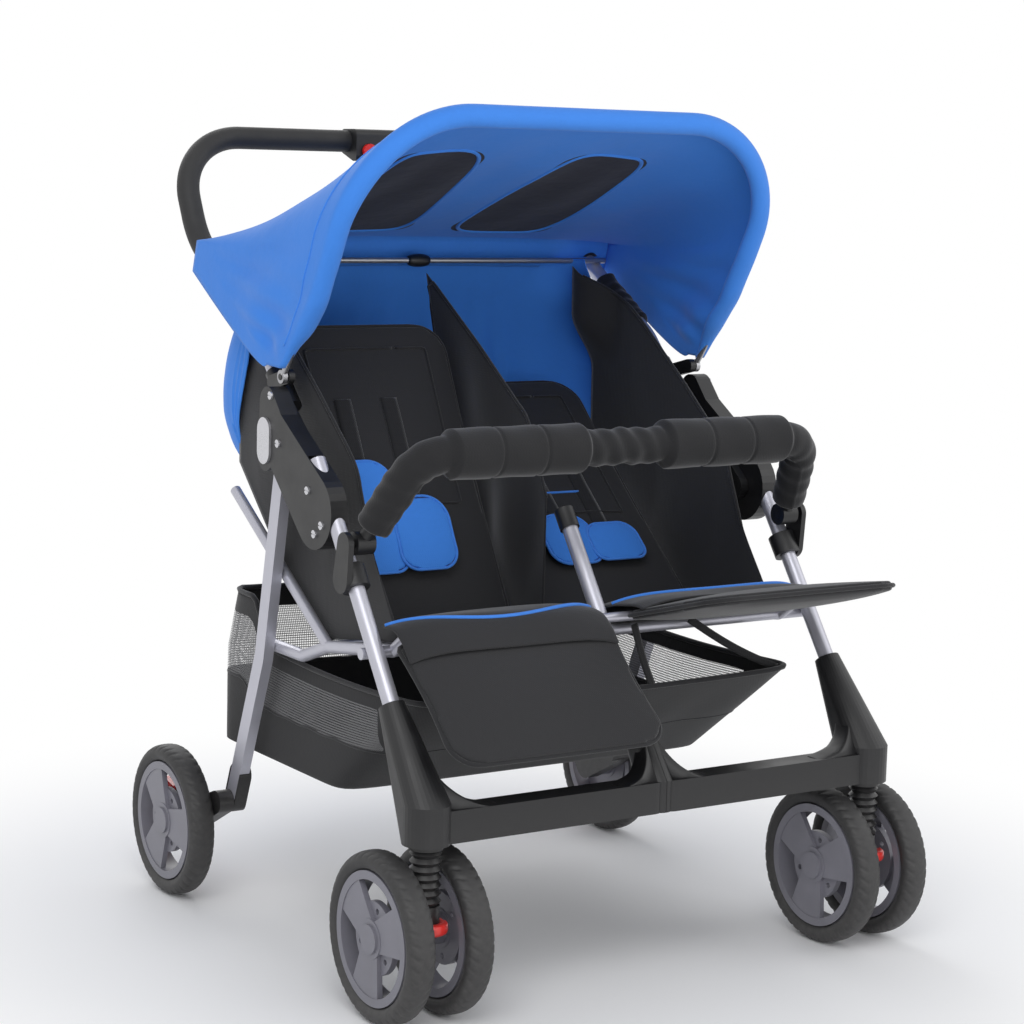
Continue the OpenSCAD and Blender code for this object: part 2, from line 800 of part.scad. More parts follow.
latch_front = 27;
latch_back = 17;
latch_low = 27;
latch_corner_r = 8;
button_x = -18;
button_drop = 13;
button_h = 11;
button_proud = 5;
pocket_d = button_d + 2 * gap;
latch_face_y = bar_y - latch_front;
module button_core(d, from_y, h) {
    translate([button_x, from_y, bar_z - button_drop])
        rotate([-90, 0, 0])
            cylinder(h = h, d = d);
}
module latch_housing() {
    color(black)
        difference() {
            side_slab(1, -latch_w / 2 + fit, latch_w / 2 - fit)
                hull() {
                    disc(bar_at + [-latch_front + latch_corner_r, -latch_low + latch_corner_r], latch_corner_r);
                    disc(bar_at + [-latch_front + latch_corner_r, latch_back - latch_corner_r], latch_corner_r);
                    disc(bar_at + [latch_back - latch_corner_r, latch_back - latch_corner_r], latch_corner_r);
                    disc(bar_at + [latch_back - latch_corner_r, -latch_back + latch_corner_r], latch_corner_r);
                }
            cross_pin(1, bar_at, handle_d / 2 + fit / 2, -latch_w, latch_w);
            button_core(pocket_d, latch_face_y - over, over + button_h - button_proud + button_travel + gap);
        }
}
module fold_button() {
    color(red)
        button_core(button_d, latch_face_y - button_proud, button_h);
}

// Hinge arms that carry the handle tube on the frame hinge, with the hood's pivot ears
arm_wall = 8;
arm_end_r = 12;
socket_low = 12;
socket_high = 46;
ear_r = 9;
ear_t = 8;
ear_d = 30;
bow_pin_d = 8;
foot_dir = (knee_at - foot_at) / norm(knee_at - foot_at);
module hinge_arms() {
    color(black)
        for (side = [-1, 1])
            difference() {
                union() {
                    side_slab(side, slab_out - arm_t, slab_out)
                        hull() {
                            disc(fold_at, fold_pin_d / 2 + arm_wall);
                            disc(foot_at, arm_end_r);
                        }
                    rod(side_point(side, handle_x, foot_at - socket_low * foot_dir),
                        side_point(side, handle_x, foot_at + socket_high * foot_dir), socket_r);
                    side_slab(side, slab_out - ear_t, slab_out)
                        hull() {
                            disc(foot_at + ear_d * foot_dir, ear_r);
                            disc(socket_at, ear_r);
                        }
                    cross_pin(side, socket_at, bow_pin_d / 2, slab_out - ear_t, bow_x + bow_d / 2);
                }
                rod(side_point(side, handle_x, foot_at - fit * foot_dir),
                    side_point(side, handle_x, foot_at + (socket_high + over) * foot_dir),
                    handle_d / 2 + fit / 2);
                cross_pin(side, fold_at, fold_pin_d / 2 + fit, slab_out - arm_t - over, slab_out + over);
            }
}

sleeve_shares = [0.12, 0.54];
module tube_sleeves() {
    color(soft_black)
        for (side = [-1, 1]) {
            low = side_point(side, handle_x, mix(knee_at, bend_at, sleeve_shares[0]));
            high = side_point(side, handle_x, mix(knee_at, bend_at, sleeve_shares[1]));
            more = (high - low) / norm(high - low) * over;
            difference() {
                rod(low, high, sleeve_d / 2);
                rod(low - more, high + more, handle_d / 2 + fit);
            }
        }
}

// Hood: a bow on the pivots, a rod across the handle tubes and one cloth over both

tube_dir = (bend_at - knee_at) / norm(bend_at - knee_at);
rod_at = mix(knee_at, bend_at, rod_share)
    + (handle_d / 2 + bow_d / 2 + fit) * [-tube_dir[1], tube_dir[0]];
module canopy_rod() {
    color(black)
        cross_pin(1, rod_at, bow_d / 2, -handle_x - handle_d / 2, handle_x + handle_d / 2);
}

bow_bulge = 26;
bow_mid_share = 0.42;
bow_bend_r = 280;
bow_eye_r = 8.5;
bow_eye_t = 6;
bow_top_at = [bow_top_y, bow_top_z];
bow_rise = (bow_top_at - socket_at) / norm(bow_top_at - socket_at);
bow_mid_at = mix(socket_at, bow_top_at, bow_mid_share) + bow_bulge * [-bow_rise[1], bow_rise[0]];
module canopy_bow() {
    start_dir = (bow_mid_at - socket_at) / norm(bow_mid_at - socket_at);
    start_at = socket_at + bow_eye_r / 2 * start_dir;
    color(silver)
        difference() {
            union() {
                bent_rod([side_point(-1, bow_x, start_at), side_point(-1, bow_x, bow_mid_at),
                    side_point(-1, bow_x, bow_top_at), side_point(1, bow_x, bow_top_at),
                    side_point(1, bow_x, bow_mid_at), side_point(1, bow_x, start_at)],
                    [bow_bend_r, bow_corner_r, bow_corner_r, bow_bend_r], bow_d / 2);
                for (side = [-1, 1])
                    cross_pin(side, socket_at, bow_eye_r, bow_x - bow_eye_t / 2, bow_x + bow_eye_t / 2);
            }
            for (side = [-1, 1])
                cross_pin(side, socket_at, bow_pin_d / 2 + fit, bow_x - bow_d, bow_x + bow_d);
        }
}

// The cloth spans from the bow's arch to the handle tubes and the rod.
// A share u runs over the arch from right to left, and v runs from the bow to the rear.
side_share = 0.17;
corner_share = 0.2;
hem_at = [26, 10];
rear_lift = 14;
rear_at = rod_at + [rear_lift, rear_lift];
cloth_gap = 2;
roof_crown = 12;
function arch(u, w, h, r) =
    let (m = u > 0.5 ? 1 - u : u, s = u > 0.5 ? 1 : -1)
    m < side_share ? [s * w, (h - r) * m / side_share]
    : m < side_share + corner_share ? let (a = 90 * (m - side_share) / corner_share)
        [s * (w - r + r * cos(a)), h - r + r * sin(a)]
    : [s * (w - r) * (0.5 - m) / (0.5 - side_share - corner_share), h];
function bow_side(share) = mix(socket_at, bow_top_at, share)
    + bow_bulge * sin(180 * share) * [-bow_rise[1], bow_rise[0]];
function cloth_point(u, v, out) =
    let (w = bow_x + bow_d / 2 + cloth_gap + out, h = norm(bow_top_at - socket_at) + bow_d / 2 + cloth_gap + out,
         p = arch(u, w, h, bow_corner_r), q = bow_side(p[1] / h) + (out + cloth_gap + bow_d) * bow_rise,
         m = min(u, 1 - u), along = min(1, m / side_share),
         back = mix(socket_at + hem_at, rear_at, along) + [0, out + roof_crown * sin(180 * m)],
         front = [p[0], q[0], q[1]], rear = [p[0], back[0], back[1]])
    mix(front, rear, v);
module canopy_sheet() {
    color(blue)
        sheet_solid(28, 10,
            function (u, v) cloth_point(u, v, cloth_t),
            function (u, v) cloth_point(u, v, 0));
}

// The curtain hangs from the rod with upright folds that deepen downward.
// It turns a rounded corner on each side and ends in a tab under the handle tube.
curtain_bulge = 46;
curtain_lean = 34;
curtain_steps = 42;
curtain_top_share = 1.1;
curtain_belly_share = 0.5;
rear_share = 0.6;
turn_share = 0.2;
spread_from_share = 0.16;
spread_share = 0.17;
gather_share = 0.4;
tab_x = 288;
tab_low_x = 224;
tab_turn_r = 84;
tab_nose_y = 212;
tab_low_y = 262;
tab_nose_share = 0.33;
function tab_front(v) = mix(tab_nose_y, tab_low_y, max(0, v - tab_nose_share) / (1 - tab_nose_share));
function spread(v) = min(1, max(0, (v - spread_from_share) / spread_share));
function tab_half(v) = mix(mix(curtain_w / 2, tab_x, spread(v)), tab_low_x,
    pow(max(0, (v - 1 + gather_share) / gather_share), 2));
function curtain_plan(t, v, back, out) =
    let (s = t < 0 ? -1 : 1, a = abs(t), w = tab_half(v), r = tab_turn_r * v,
         turn = 90 * (a - rear_share) / turn_share, run = back - r - tab_front(v))
    a < rear_share ? [t / rear_share * (w - r), back + out]
    : a < rear_share + turn_share ? [s * (w - r + (r + out) * sin(turn)), back - r + (r + out) * cos(turn)]
    : [s * (w + out), back - r - run * (a - rear_share - turn_share) / (1 - rear_share - turn_share)];
function curtain_point(u, v, out) =
    let (top = rod_at + [bow_d / 2 + fit, 0], t = 2 * u - 1,
         belly = curtain_bulge * mix(v, sin(180 * min(1, v * curtain_top_share)), curtain_belly_share),
         back = top[0] + curtain_lean * v + belly,
         fold = curtain_fold * v * cos(360 * curtain_folds * u) * (1 - pow(min(1, abs(t) / rear_share), 4)),
         flat = [t * curtain_w / 2, back + out])
    concat(mix(flat, curtain_plan(t, v, back, out), spread(v)) + [0, fold], [mix(top[1], curtain_low_z, v)]);
module rear_curtain() {
    color(blue)
        sheet_solid(curtain_steps, 6,
            function (u, v) curtain_point(u, v, cloth_t),
            function (u, v) curtain_point(u, v, 0));
}

// Rear legs, brackets and brake pedals

rear_knee_at = [rear_knee_y, rear_knee_z];
rear_end_at = [rear_end_y, rear_end_z];
module rear_leg_outline(grow) {
    hull() {
        disc(hub_at, rear_w / 2 + grow);
        disc(rear_knee_at, rear_w / 2 + grow);
    }
    hull() {
        disc(rear_knee_at, rear_w / 2 + grow);
        disc(rear_end_at, rear_w / 2 + grow);
    }
}
module rear_leg(side) {
    color(silver)
        difference() {
            side_slab(side, rear_in, slab_out)
                rear_leg_outline(0);
            cross_pin(side, hub_at, hub_pin_d / 2 + fit, rear_in - over, slab_out + over);
        }
}
module rear_leg_right() rear_leg(-1);
module rear_leg_left() rear_leg(1);

wheel_gap = 3;
bracket_in = slab_out + fit;
bracket_out = rear_wheel_x - tyre_w / 2 - wheel_gap;
boss_r = 20;
bracket_wall = 3;
sock_len = 40;
sock_r = rear_w / 2 + bracket_wall;
pedal_off = [30, 22];
pedal_at = rear_axle_at + pedal_off;
pedal_pin_d = 8;
pedal_eye_r = 8;
module rear_bracket(side) {
    sock_dir = (rear_knee_at - rear_end_at) / norm(rear_knee_at - rear_end_at);
    color(black) {
        difference() {
            union() {
                side_slab(side, bracket_in, bracket_out) {
                    hull() {
                        disc(rear_end_at, sock_r);
                        disc(rear_axle_at, boss_r);
                    }
                    hull() {
                        disc(rear_axle_at, boss_r);
                        disc(pedal_at, pedal_eye_r);
                    }
                }
                side_slab(side, rear_in - bracket_wall, bracket_in)
                    hull() {
                        disc(rear_end_at, sock_r);
                        disc(rear_end_at + sock_len * sock_dir, sock_r);
                    }
            }
            side_slab(side, rear_in - fit, slab_out + fit)
                rear_leg_outline(fit);
        }
        cross_pin(side, rear_axle_at, rear_axle_d / 2, bracket_in, rear_wheel_x + rim_w / 2);
        cross_pin(side, pedal_at, pedal_pin_d / 2, rear_in + bracket_wall, bracket_in + over);
    }
}
module rear_bracket_right() rear_bracket(-1);
module rear_bracket_left() rear_bracket(1);

pedal_len = 44;
pedal_rise = 12;
pedal_tip_r = 5;
pedal_clear = 3;
module brake_pedal(side) {
    tip = pedal_at + [pedal_len, pedal_rise];
    step = pedal_at + [pedal_eye_r + pedal_clear + pedal_tip_r, pedal_rise / 2];
    color(red)
        difference() {
            union() {
                side_slab(side, rear_in + bracket_wall, bracket_in - fit)
                    hull() {
                        disc(pedal_at, pedal_eye_r);
                        disc(step, pedal_tip_r);
                    }
                side_slab(side, rear_in + bracket_wall, bracket_out)
                    hull() {
                        disc(step, pedal_tip_r);
                        disc(tip, pedal_tip_r);
                    }
            }
            cross_pin(side, pedal_at, pedal_pin_d / 2 + fit, rear_in, bracket_in);
        }
}
module brake_pedal_right() brake_pedal(-1);
module brake_pedal_left() brake_pedal(1);

// Wheels, with the axle along X and the dished face toward face = -1 or 1

tyre_crown_r = 26;
module tyre() {
    rotate([0, 90, 0])
        rotate_extrude()
            intersection() {
                translate([rim_r + fit, -tyre_w / 2])
                    square([wheel_r - rim_r - fit, tyre_w]);
                translate([wheel_r - tyre_crown_r, 0])
                    circle(r = tyre_crown_r);
            }
}

// A rim has a barrel, a recessed disc and three broad spokes on its outer face
barrel_t = 10;
spoke_t = 7;
spoke_set = 1;
spoke_hub_w = 30;
spoke_rim_w = 64;
disc_r = 43;
disc_t = 5;
disc_back = 9;
hole_r = 3.5;
hole_ring_r = 33;
hole_count = 3;
hub_face_r = 23;
cap_r = 17;
cap_h = 3;
module spoke() {
    far = rim_r;
    linear_extrude(height = spoke_t)
        polygon([[0, -spoke_hub_w / 2], [far, -spoke_rim_w / 2], [far, spoke_rim_w / 2], [0, spoke_hub_w / 2]]);
}
module rim(axle_d, turn) {
    half = rim_w / 2;
    difference() {
        union() {
            rotate_extrude()
                translate([rim_r - barrel_t, -half])
                    square([barrel_t, rim_w]);
            for (k = [0:2])
                rotate([0, 0, turn + 120 * k])
                    translate([0, 0, half - spoke_t - spoke_set])
                        intersection() {
                            spoke();
                            cylinder(h = spoke_t, r = rim_r - barrel_t / 2);
                        }
            translate([0, 0, half - disc_back - disc_t])
                difference() {
                    cylinder(h = disc_t + disc_back - spoke_t + over, r = disc_r);
                    for (k = [0:hole_count - 1])
                        rotate([0, 0, turn + 60 + 360 * k / hole_count])
                            translate([hole_ring_r, 0, -over])
                                cylinder(h = 2 * disc_back, r = hole_r);
                }
            translate([0, 0, -half])
                cylinder(h = rim_w - 2 * spoke_set, r = wheel_hub_r);
            cylinder(h = half, r = hub_face_r);
            cylinder(h = half + cap_h, r = cap_r);
        }
        translate([0, 0, -half - over])
            cylinder(h = rim_w + over + fit, r = axle_d / 2 + fit);
    }
}
module place_rim(face, axle_d, turn) {
    rotate([0, 90 * face, 0])
        rim(axle_d, turn);
}

rear_spoke_turn = 30;
front_spoke_turn = 50;
module rear_tyre(side) {
    color(black)
        translate([side * rear_wheel_x, rear_axle_y, wheel_r])
            tyre();
}
module rear_tyre_right() rear_tyre(-1);
module rear_tyre_left() rear_tyre(1);
module rear_rim(side) {
    color(silver)
        translate([side * rear_wheel_x, rear_axle_y, wheel_r])
            place_rim(side, rear_axle_d, rear_spoke_turn);
}
module rear_rim_right() rear_rim(-1);
module rear_rim_left() rear_rim(1);

module front_tyres(side) {
    color(black)
        for (k = [-1, 1])
            translate([side * leg_x + k * twin_x, front_axle_y, wheel_r])
                tyre();
}
module front_tyres_right() front_tyres(-1);
module front_tyres_left() front_tyres(1);
module front_rims(side) {
    color(silver)
        for (k = [-1, 1])
            translate([side * leg_x + k * twin_x, front_axle_y, wheel_r])
                place_rim(k, front_axle_d, front_spoke_turn);
}
module front_rims_right() front_rims(-1);
module front_rims_left() front_rims(1);

// Casters: a swivel post in the moulding, a ribbed bellows and a fork that slides on the post

flange_r = 20;
flange_h = 5;
guide_low_z = 125;
fork_top_z = 141;
fork_collar_r = 17;
fork_floor = 4;
fork_w = 2 * (twin_x - tyre_w / 2) - 2 * wheel_gap;
fork_boss_r = 15;
fork_low_z = guide_low_z - spring_travel - gap - fork_floor;
module at_king(side, z) {
    translate([side * leg_x, king_y, z])
        children();
}
module caster_post(side) {
    flange_top = moulding_z - gap;
    color(black) {
        at_king(side, flange_top - flange_h)
            cylinder(h = flange_h, r = flange_r);
        at_king(side, flange_top - over)
            cylinder(h = block_h - 2 * socket_wall, r = stem_d / 2);
        at_king(side, guide_low_z)
            cylinder(h = flange_top - guide_low_z - over, r = guide_d / 2);
    }
}
module caster_post_right() caster_post(-1);
module caster_post_left() caster_post(1);

bellows_wall = 2.5;
rib_depth = 4;
module caster_bellows(side) {
    low = fork_top_z + fit;
    high = moulding_z - gap - flange_h - fit;
    pitch = (high - low) / bellows_ribs;
    outer = [for (k = [0:bellows_ribs - 1]) each [[bellows_r - rib_depth, k * pitch],
        [bellows_r, (k + 0.5) * pitch]]];
    inner = [for (k = [bellows_ribs - 1:-1:0]) each [[bellows_r - bellows_wall, (k + 0.5) * pitch],
        [bellows_r - rib_depth - bellows_wall, k * pitch]]];
    color(black)
        at_king(side, low)
            rotate_extrude()
                polygon(concat(outer, [[bellows_r - rib_depth, high - low],
                    [bellows_r - rib_depth - bellows_wall, high - low]], inner));
}
module caster_bellows_right() caster_bellows(-1);
module caster_bellows_left() caster_bellows(1);

lock_pin_r = 3;
lock_z = 116;
lock_gap = 1.2;
lock_t = 4;
lock_h = 11;
lock_sweep = 190;
lock_pin_reach = lock_gap + lock_t;
module caster_fork(side) {
    color(black)
        difference() {
            union() {
                at_king(side, fork_low_z)
                    cylinder(h = fork_top_z - fork_low_z, r = fork_collar_r);
                hull() {
                    at_king(side, fork_low_z)
                        cylinder(h = fork_floor, r = fork_w / 2 - over, $fn = hull_fn);
                    translate([side * leg_x - fork_w / 2, front_axle_y, wheel_r])
                        rotate([0, 90, 0])
                            cylinder(h = fork_w, r = fork_boss_r, $fn = hull_fn);
                }
                translate([side * leg_x - twin_x - rim_w / 2, front_axle_y, wheel_r])
                    rotate([0, 90, 0])
                        cylinder(h = 2 * twin_x + rim_w, r = front_axle_d / 2);
                translate([side * leg_x - fork_collar_r - lock_pin_reach, king_y, lock_z])
                    rotate([0, 90, 0])
                        cylinder(h = 2 * (fork_collar_r + lock_pin_reach), r = lock_pin_r);
            }
            at_king(side, fork_low_z + fork_floor)
                cylinder(h = fork_top_z, r = guide_d / 2 + fit);
        }
}
module caster_fork_right() caster_fork(-1);
module caster_fork_left() caster_fork(1);

module swivel_lock(side) {
    color(red)
        at_king(side, lock_z)
            difference() {
                rotate([0, 0, 270 - lock_sweep / 2])
                    rotate_extrude(angle = lock_sweep)
                        translate([fork_collar_r + lock_gap, -lock_h / 2])
                            square([lock_t, lock_h]);
                translate([-leg_d * 2, 0, 0])
                    rotate([0, 90, 0])
                        cylinder(h = leg_d * 4, r = lock_pin_r + fit);
            }
}
module swivel_lock_right() swivel_lock(-1);
module swivel_lock_left() swivel_lock(1);

// The origin is on the floor, in the middle of the part's length and width.
// The length runs from the raised leg rest's tip to the latch housing or the grip.
leg_rest_front = shin_y - leg_rest_len * cos(raised_deg) - pad_drop * sin(raised_deg);
handle_rear = bar_y + max(grip_d / 2, latch_back);
middle_y = (leg_rest_front + handle_rear) / 2;
module placed() {
    translate([0, -middle_y, 0])
        children();
}

placed() front_leg_right();
placed() front_leg_left();
placed() front_leg_center();
placed() center_leg_cap();
placed() footrest_right();
placed() footrest_left();
placed() side_plate_right();
placed() side_plate_left();
placed() oval_caps();
placed() frame_screws();
placed() seat_frame();
placed() basket();
placed() basket_stay();
placed() seat_pad_right();
placed() seat_pad_left();
placed() side_wing_right();
placed() side_wing_left();
placed() center_wing();
placed() harness_right();
placed() harness_left();
placed() bumper_brackets();
placed() handle_tube();
placed() handle_grips();
placed() latch_housing();
placed() hinge_arms();
placed() tube_sleeves();
placed() canopy_rod();
placed() canopy_sheet();
placed() rear_curtain();
placed() fold_button();
placed() canopy_bow();
placed() rear_leg_right();
placed() rear_leg_left();
placed() rear_bracket_right();
placed() rear_bracket_left();
placed() brake_pedal_right();
placed() brake_pedal_left();
placed() rear_tyre_right();
placed() rear_tyre_left();
placed() rear_rim_right();
placed() rear_rim_left();
placed() caster_post_right();
placed() caster_post_left();
placed() caster_bellows_right();
placed() caster_bellows_left();
placed() caster_fork_right();
placed() caster_fork_left();
placed() swivel_lock_right();
placed() swivel_lock_left();
placed() front_tyres_right();
placed() front_tyres_left();
placed() front_rims_right();
placed() front_rims_left();
placed() backrest_right();
placed() backrest_left();
placed() leg_rest_right();
placed() leg_rest_left();
placed() bumper_bar();
placed() bumper_foam();
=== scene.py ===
import bpy
import math
import numpy as np
from mathutils import Matrix, Vector
from mathutils.bvhtree import BVHTree


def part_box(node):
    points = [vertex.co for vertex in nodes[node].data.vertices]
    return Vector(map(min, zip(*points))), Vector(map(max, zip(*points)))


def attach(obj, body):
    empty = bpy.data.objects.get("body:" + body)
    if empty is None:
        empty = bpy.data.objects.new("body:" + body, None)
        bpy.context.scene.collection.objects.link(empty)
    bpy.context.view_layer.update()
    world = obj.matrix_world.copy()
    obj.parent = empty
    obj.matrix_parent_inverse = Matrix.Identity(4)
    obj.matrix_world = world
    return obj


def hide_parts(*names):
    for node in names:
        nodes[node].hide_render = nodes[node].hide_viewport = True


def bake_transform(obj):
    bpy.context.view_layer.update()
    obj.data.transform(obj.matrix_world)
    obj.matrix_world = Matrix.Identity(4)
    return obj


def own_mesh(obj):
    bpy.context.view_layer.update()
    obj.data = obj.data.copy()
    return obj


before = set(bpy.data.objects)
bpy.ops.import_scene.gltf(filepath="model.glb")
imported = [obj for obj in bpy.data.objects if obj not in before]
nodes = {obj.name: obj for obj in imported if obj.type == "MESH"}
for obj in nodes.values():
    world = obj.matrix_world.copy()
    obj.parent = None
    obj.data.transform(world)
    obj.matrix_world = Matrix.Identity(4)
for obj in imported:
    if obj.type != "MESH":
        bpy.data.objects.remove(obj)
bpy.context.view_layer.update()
shiftY = 18.4606                     # Y of the part's middle in the drawing, mm
bothSides = (("right", -1), ("left", 1))                       # a side's name and the sign of its X
print("frame loaded:", len(nodes), "nodes")


# small helpers, all on whole arrays; sizes are the drawing's millimetres

def toFrame(pts):                    # drawing mm to the part's metres
    out = np.array(pts, float) / 1000.0
    out[..., 1] -= shiftY / 1000.0
    return out


def mixed(a, b, t):
    return a + (b - a) * t


def smoothStep(lo, hi, x):
    t = np.clip((x - lo) / (hi - lo), 0, 1)
    return t * t * (3 - 2 * t)


def unit(v):
    return v / np.maximum(np.linalg.norm(v, axis=-1, keepdims=True), 1e-9)


def aroundCircle(count):
    return np.linspace(0, 2 * np.pi, count, endpoint=False)


def evened(values, count):           # running mean, with the ends held
    return np.convolve(np.pad(values, count // 2, mode="edge"), np.ones(count) / count, "valid")


def framePoint(*point):
    return [float(v) for v in toFrame(point)]


def lengthsAlong(points):
    return np.r_[0, np.cumsum(np.linalg.norm(np.diff(points, axis=0), axis=1))]


def sideView(x, yz):                 # (y, z) pairs at one distance from the middle plane
    yz = np.asarray(yz, float)
    return np.concatenate([np.full(yz.shape[:-1] + (1,), float(x)), yz], -1)


def alongPoints(points, count):      # even steps by length on straight runs
    points = np.asarray(points, float)
    run = lengthsAlong(points)
    s = np.linspace(0, run[-1], count)
    return np.stack([np.interp(s, run, points[:, k]) for k in range(points.shape[1])], 1)


def smoothPath(points, count, closed=False):
    # Catmull-Rom: the cubic through four neighbours, in even steps by length
    p = np.asarray(points, float)
    if closed:
        p = np.concatenate([p[-1:], p, p[:2]])
    else:
        p = np.concatenate([2 * p[:1] - p[1:2], p, 2 * p[-1:] - p[-2:-1]])
    t = np.linspace(0, 1, 24, endpoint=False)[:, None]
    a, b, c, d = p[:-3, None], p[1:-2, None], p[2:-1, None], p[3:, None]
    fine = 0.5 * (2 * b + (c - a) * t + (2 * a - 5 * b + 4 * c - d) * t ** 2 + (3 * b - a - 3 * c + d) * t ** 3)
    fine = np.concatenate([fine.reshape(-1, p.shape[1]), p[-2:-1]])
    return alongPoints(fine, count + 1)[:-1] if closed else alongPoints(fine, count)


def signedPower(v, power):
    return np.sign(v) * np.abs(v) ** power


def bentPath(points, radii, step):
    # straight runs joined by arcs, as the drawing bends its tubes
    p = np.asarray(points, float)
    d = unit(np.diff(p, axis=0))
    out = [p[:1]]
    for k, r in enumerate(radii):
        a, b = d[k], d[k + 1]
        turn = math.acos(np.clip(a @ b, -1, 1))
        inward = unit(b - a * (a @ b))
        start = p[k + 1] - a * r * math.tan(turn / 2)
        ang = np.linspace(0, turn, max(4, int(r * turn / step)))[:, None]
        out.append(start + r * (np.sin(ang) * a + (1 - np.cos(ang)) * inward))
    line = np.concatenate(out + [p[-1:]])
    total = np.linalg.norm(np.diff(line, axis=0), axis=1).sum()
    return alongPoints(line, int(total / step) + 2)


def tubePoints(path, radius, sides, up, closed=False):
    # a circle carried along a path: centre + r (cos a side + sin a lift)
    tangent = unit(np.roll(path, -1, 0) - np.roll(path, 1, 0)) if closed else unit(np.gradient(path, axis=0))
    side = unit(np.cross(tangent, np.asarray(up, float)))
    lift = np.cross(side, tangent)
    ang = aroundCircle(sides)
    r = np.asarray(radius, float)
    r = r[:, None, None] if r.ndim == 1 else (r[..., None] if r.ndim == 2 else r)
    ring = np.cos(ang)[None, :, None] * side[:, None] + np.sin(ang)[None, :, None] * lift[:, None]
    return path[:, None] + r * ring


def gridPiece(name, pts, mat, closeU=False, closeV=False, flip=False, uv=None, masks=None, caps=False, capEnd=False):
    # a surface of two parameters as quads between neighbouring grid points; closed ones are turned face outwards
    nu, nv = pts.shape[:2]
    index = np.arange(nu * nv).reshape(nu, nv)
    iu = np.arange(nu if closeU else nu - 1)
    iv = np.arange(nv if closeV else nv - 1)
    a, b = index[iu][:, iv], index[(iu + 1) % nu][:, iv]
    c, d = index[(iu + 1) % nu][:, (iv + 1) % nv], index[iu][:, (iv + 1) % nv]
    quads = np.stack([a, b, c, d], -1).reshape(-1, 4)
    ends = ([index[0]] if caps else []) + ([index[-1, ::-1]] if caps or capEnd else [])
    if caps or (closeU and closeV):
        p = pts.reshape(-1, 3) - pts.reshape(-1, 3).mean(0)
        fans = [quads[:, :3], quads[:, [0, 2, 3]]] + [np.stack([0 * e[1:-1] + e[0], e[1:-1], e[2:]], 1) for e in ends]
        fans = np.concatenate(fans)
        flip = np.einsum("ij,ij->", p[fans[:, 0]], np.cross(p[fans[:, 1]], p[fans[:, 2]])) < 0
    faces = quads.tolist() + [e.tolist() for e in ends]
    faces = [f[::-1] for f in faces] if flip else faces
    return meshPiece(name, toFrame(pts.reshape(-1, 3)), faces, mat,
                     None if uv is None else uv.reshape(-1, 2),
                     {k: m.ravel() for k, m in (masks or {}).items()})


def meshPiece(name, co, faces, mat, uv=None, masks=None):
    # a smooth mesh from points in metres, with a UV map and point values where given
    mesh = bpy.data.meshes.new(name)
    mesh.from_pydata(co.tolist(), [], faces)
    mesh.polygons.foreach_set("use_smooth", np.ones(len(faces), bool))
    if uv is not None:
        layer = mesh.uv_layers.new(name="UVMap")
        corner = np.empty(len(mesh.loops), np.int32)
        mesh.loops.foreach_get("vertex_index", corner)
        layer.data.foreach_set("uv", uv[corner].astype(np.float32).ravel())
    for key, values in (masks or {}).items():
        mesh.attributes.new(key, "FLOAT", "POINT").data.foreach_set("value", values.astype(np.float32))
    mesh.update()
    mesh.materials.append(mat)
    piece = bpy.data.objects.new(name, mesh)
    bpy.context.scene.collection.objects.link(piece)
    return piece


def tubePiece(name, path, radius, mat, sides=14, closed=False):
    pts = tubePoints(path, radius, sides, (0, 0, 1), closed)
    return gridPiece(name, pts, mat, closeU=closed, closeV=True, caps=not closed)


def skinPiece(name, pts, mat):       # rings of points with an end cap on both sides
    return gridPiece(name, pts, mat, closeV=True, caps=True)


def ridge(x, at, wide):              # a narrow smooth hump, 1 high
    return np.exp(-((x - at) / wide) ** 2)


def roundedEnd(distance, over, least):
    # quarter-circle share of a radius near an end
    return np.sqrt(np.clip(1 - (1 - np.clip(distance / over, 0, 1)) ** 2, least, 1))


def meshCo(mesh):
    co = np.empty(len(mesh.vertices) * 3)
    mesh.vertices.foreach_get("co", co)
    return co.reshape(-1, 3)


def joinPieces(name, pieces):
    # several meshes of one finish as one piece
    co, faces, base = [], [], 0
    for p in pieces:
        co.append(meshCo(p.data))
        faces += [[i + base for i in f.vertices] for f in p.data.polygons]
        base += len(p.data.vertices)
    mat = pieces[0].data.materials[0]
    for p in pieces:
        bpy.data.objects.remove(p)
    return meshPiece(name, np.concatenate(co), faces, mat)


def thicken(piece, thickness, offset=-1.0):
    mod = piece.modifiers.new("wall", "SOLIDIFY")
    mod.thickness, mod.offset = thickness / 1000.0, offset
    return piece


def rounded(piece, levels=1):
    mod = piece.modifiers.new("smooth", "SUBSURF")
    mod.levels = mod.render_levels = levels
    return piece


def fit(piece, body, stands=None):
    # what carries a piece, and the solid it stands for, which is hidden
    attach(piece, body)
    if stands:
        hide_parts(stands)
    return piece


# shader nodes: an input given a socket is linked, and one given a value is set

def addNode(tree, kind, inputs, **settings):
    node = tree.nodes.new("ShaderNode" + kind)
    for key, value in settings.items():
        setattr(node, key, value)
    for key, value in inputs.items():
        if isinstance(value, bpy.types.NodeSocket):
            tree.links.new(value, node.inputs[key])
        else:
            node.inputs[key].default_value = value
    return node


def mathNode(tree, operation, *values):
    return addNode(tree, "Math", dict(enumerate(values)), operation=operation).outputs[0]


def noiseNode(tree, vector, scale, detail, rough=0.55):
    given = {"Vector": vector, "Scale": scale, "Detail": detail, "Roughness": rough}
    return addNode(tree, "TexNoise", given).outputs["Fac"]


def mixColor(tree, factor, first, second):
    # a colour Mix node has its factor at socket 0 and its colours at 6 and 7
    return addNode(tree, "Mix", {0: factor, 6: first, 7: second}, data_type="RGBA").outputs[2]


def coordsOf(tree, kind="Object"):
    return tree.nodes.new("ShaderNodeTexCoord").outputs[kind]


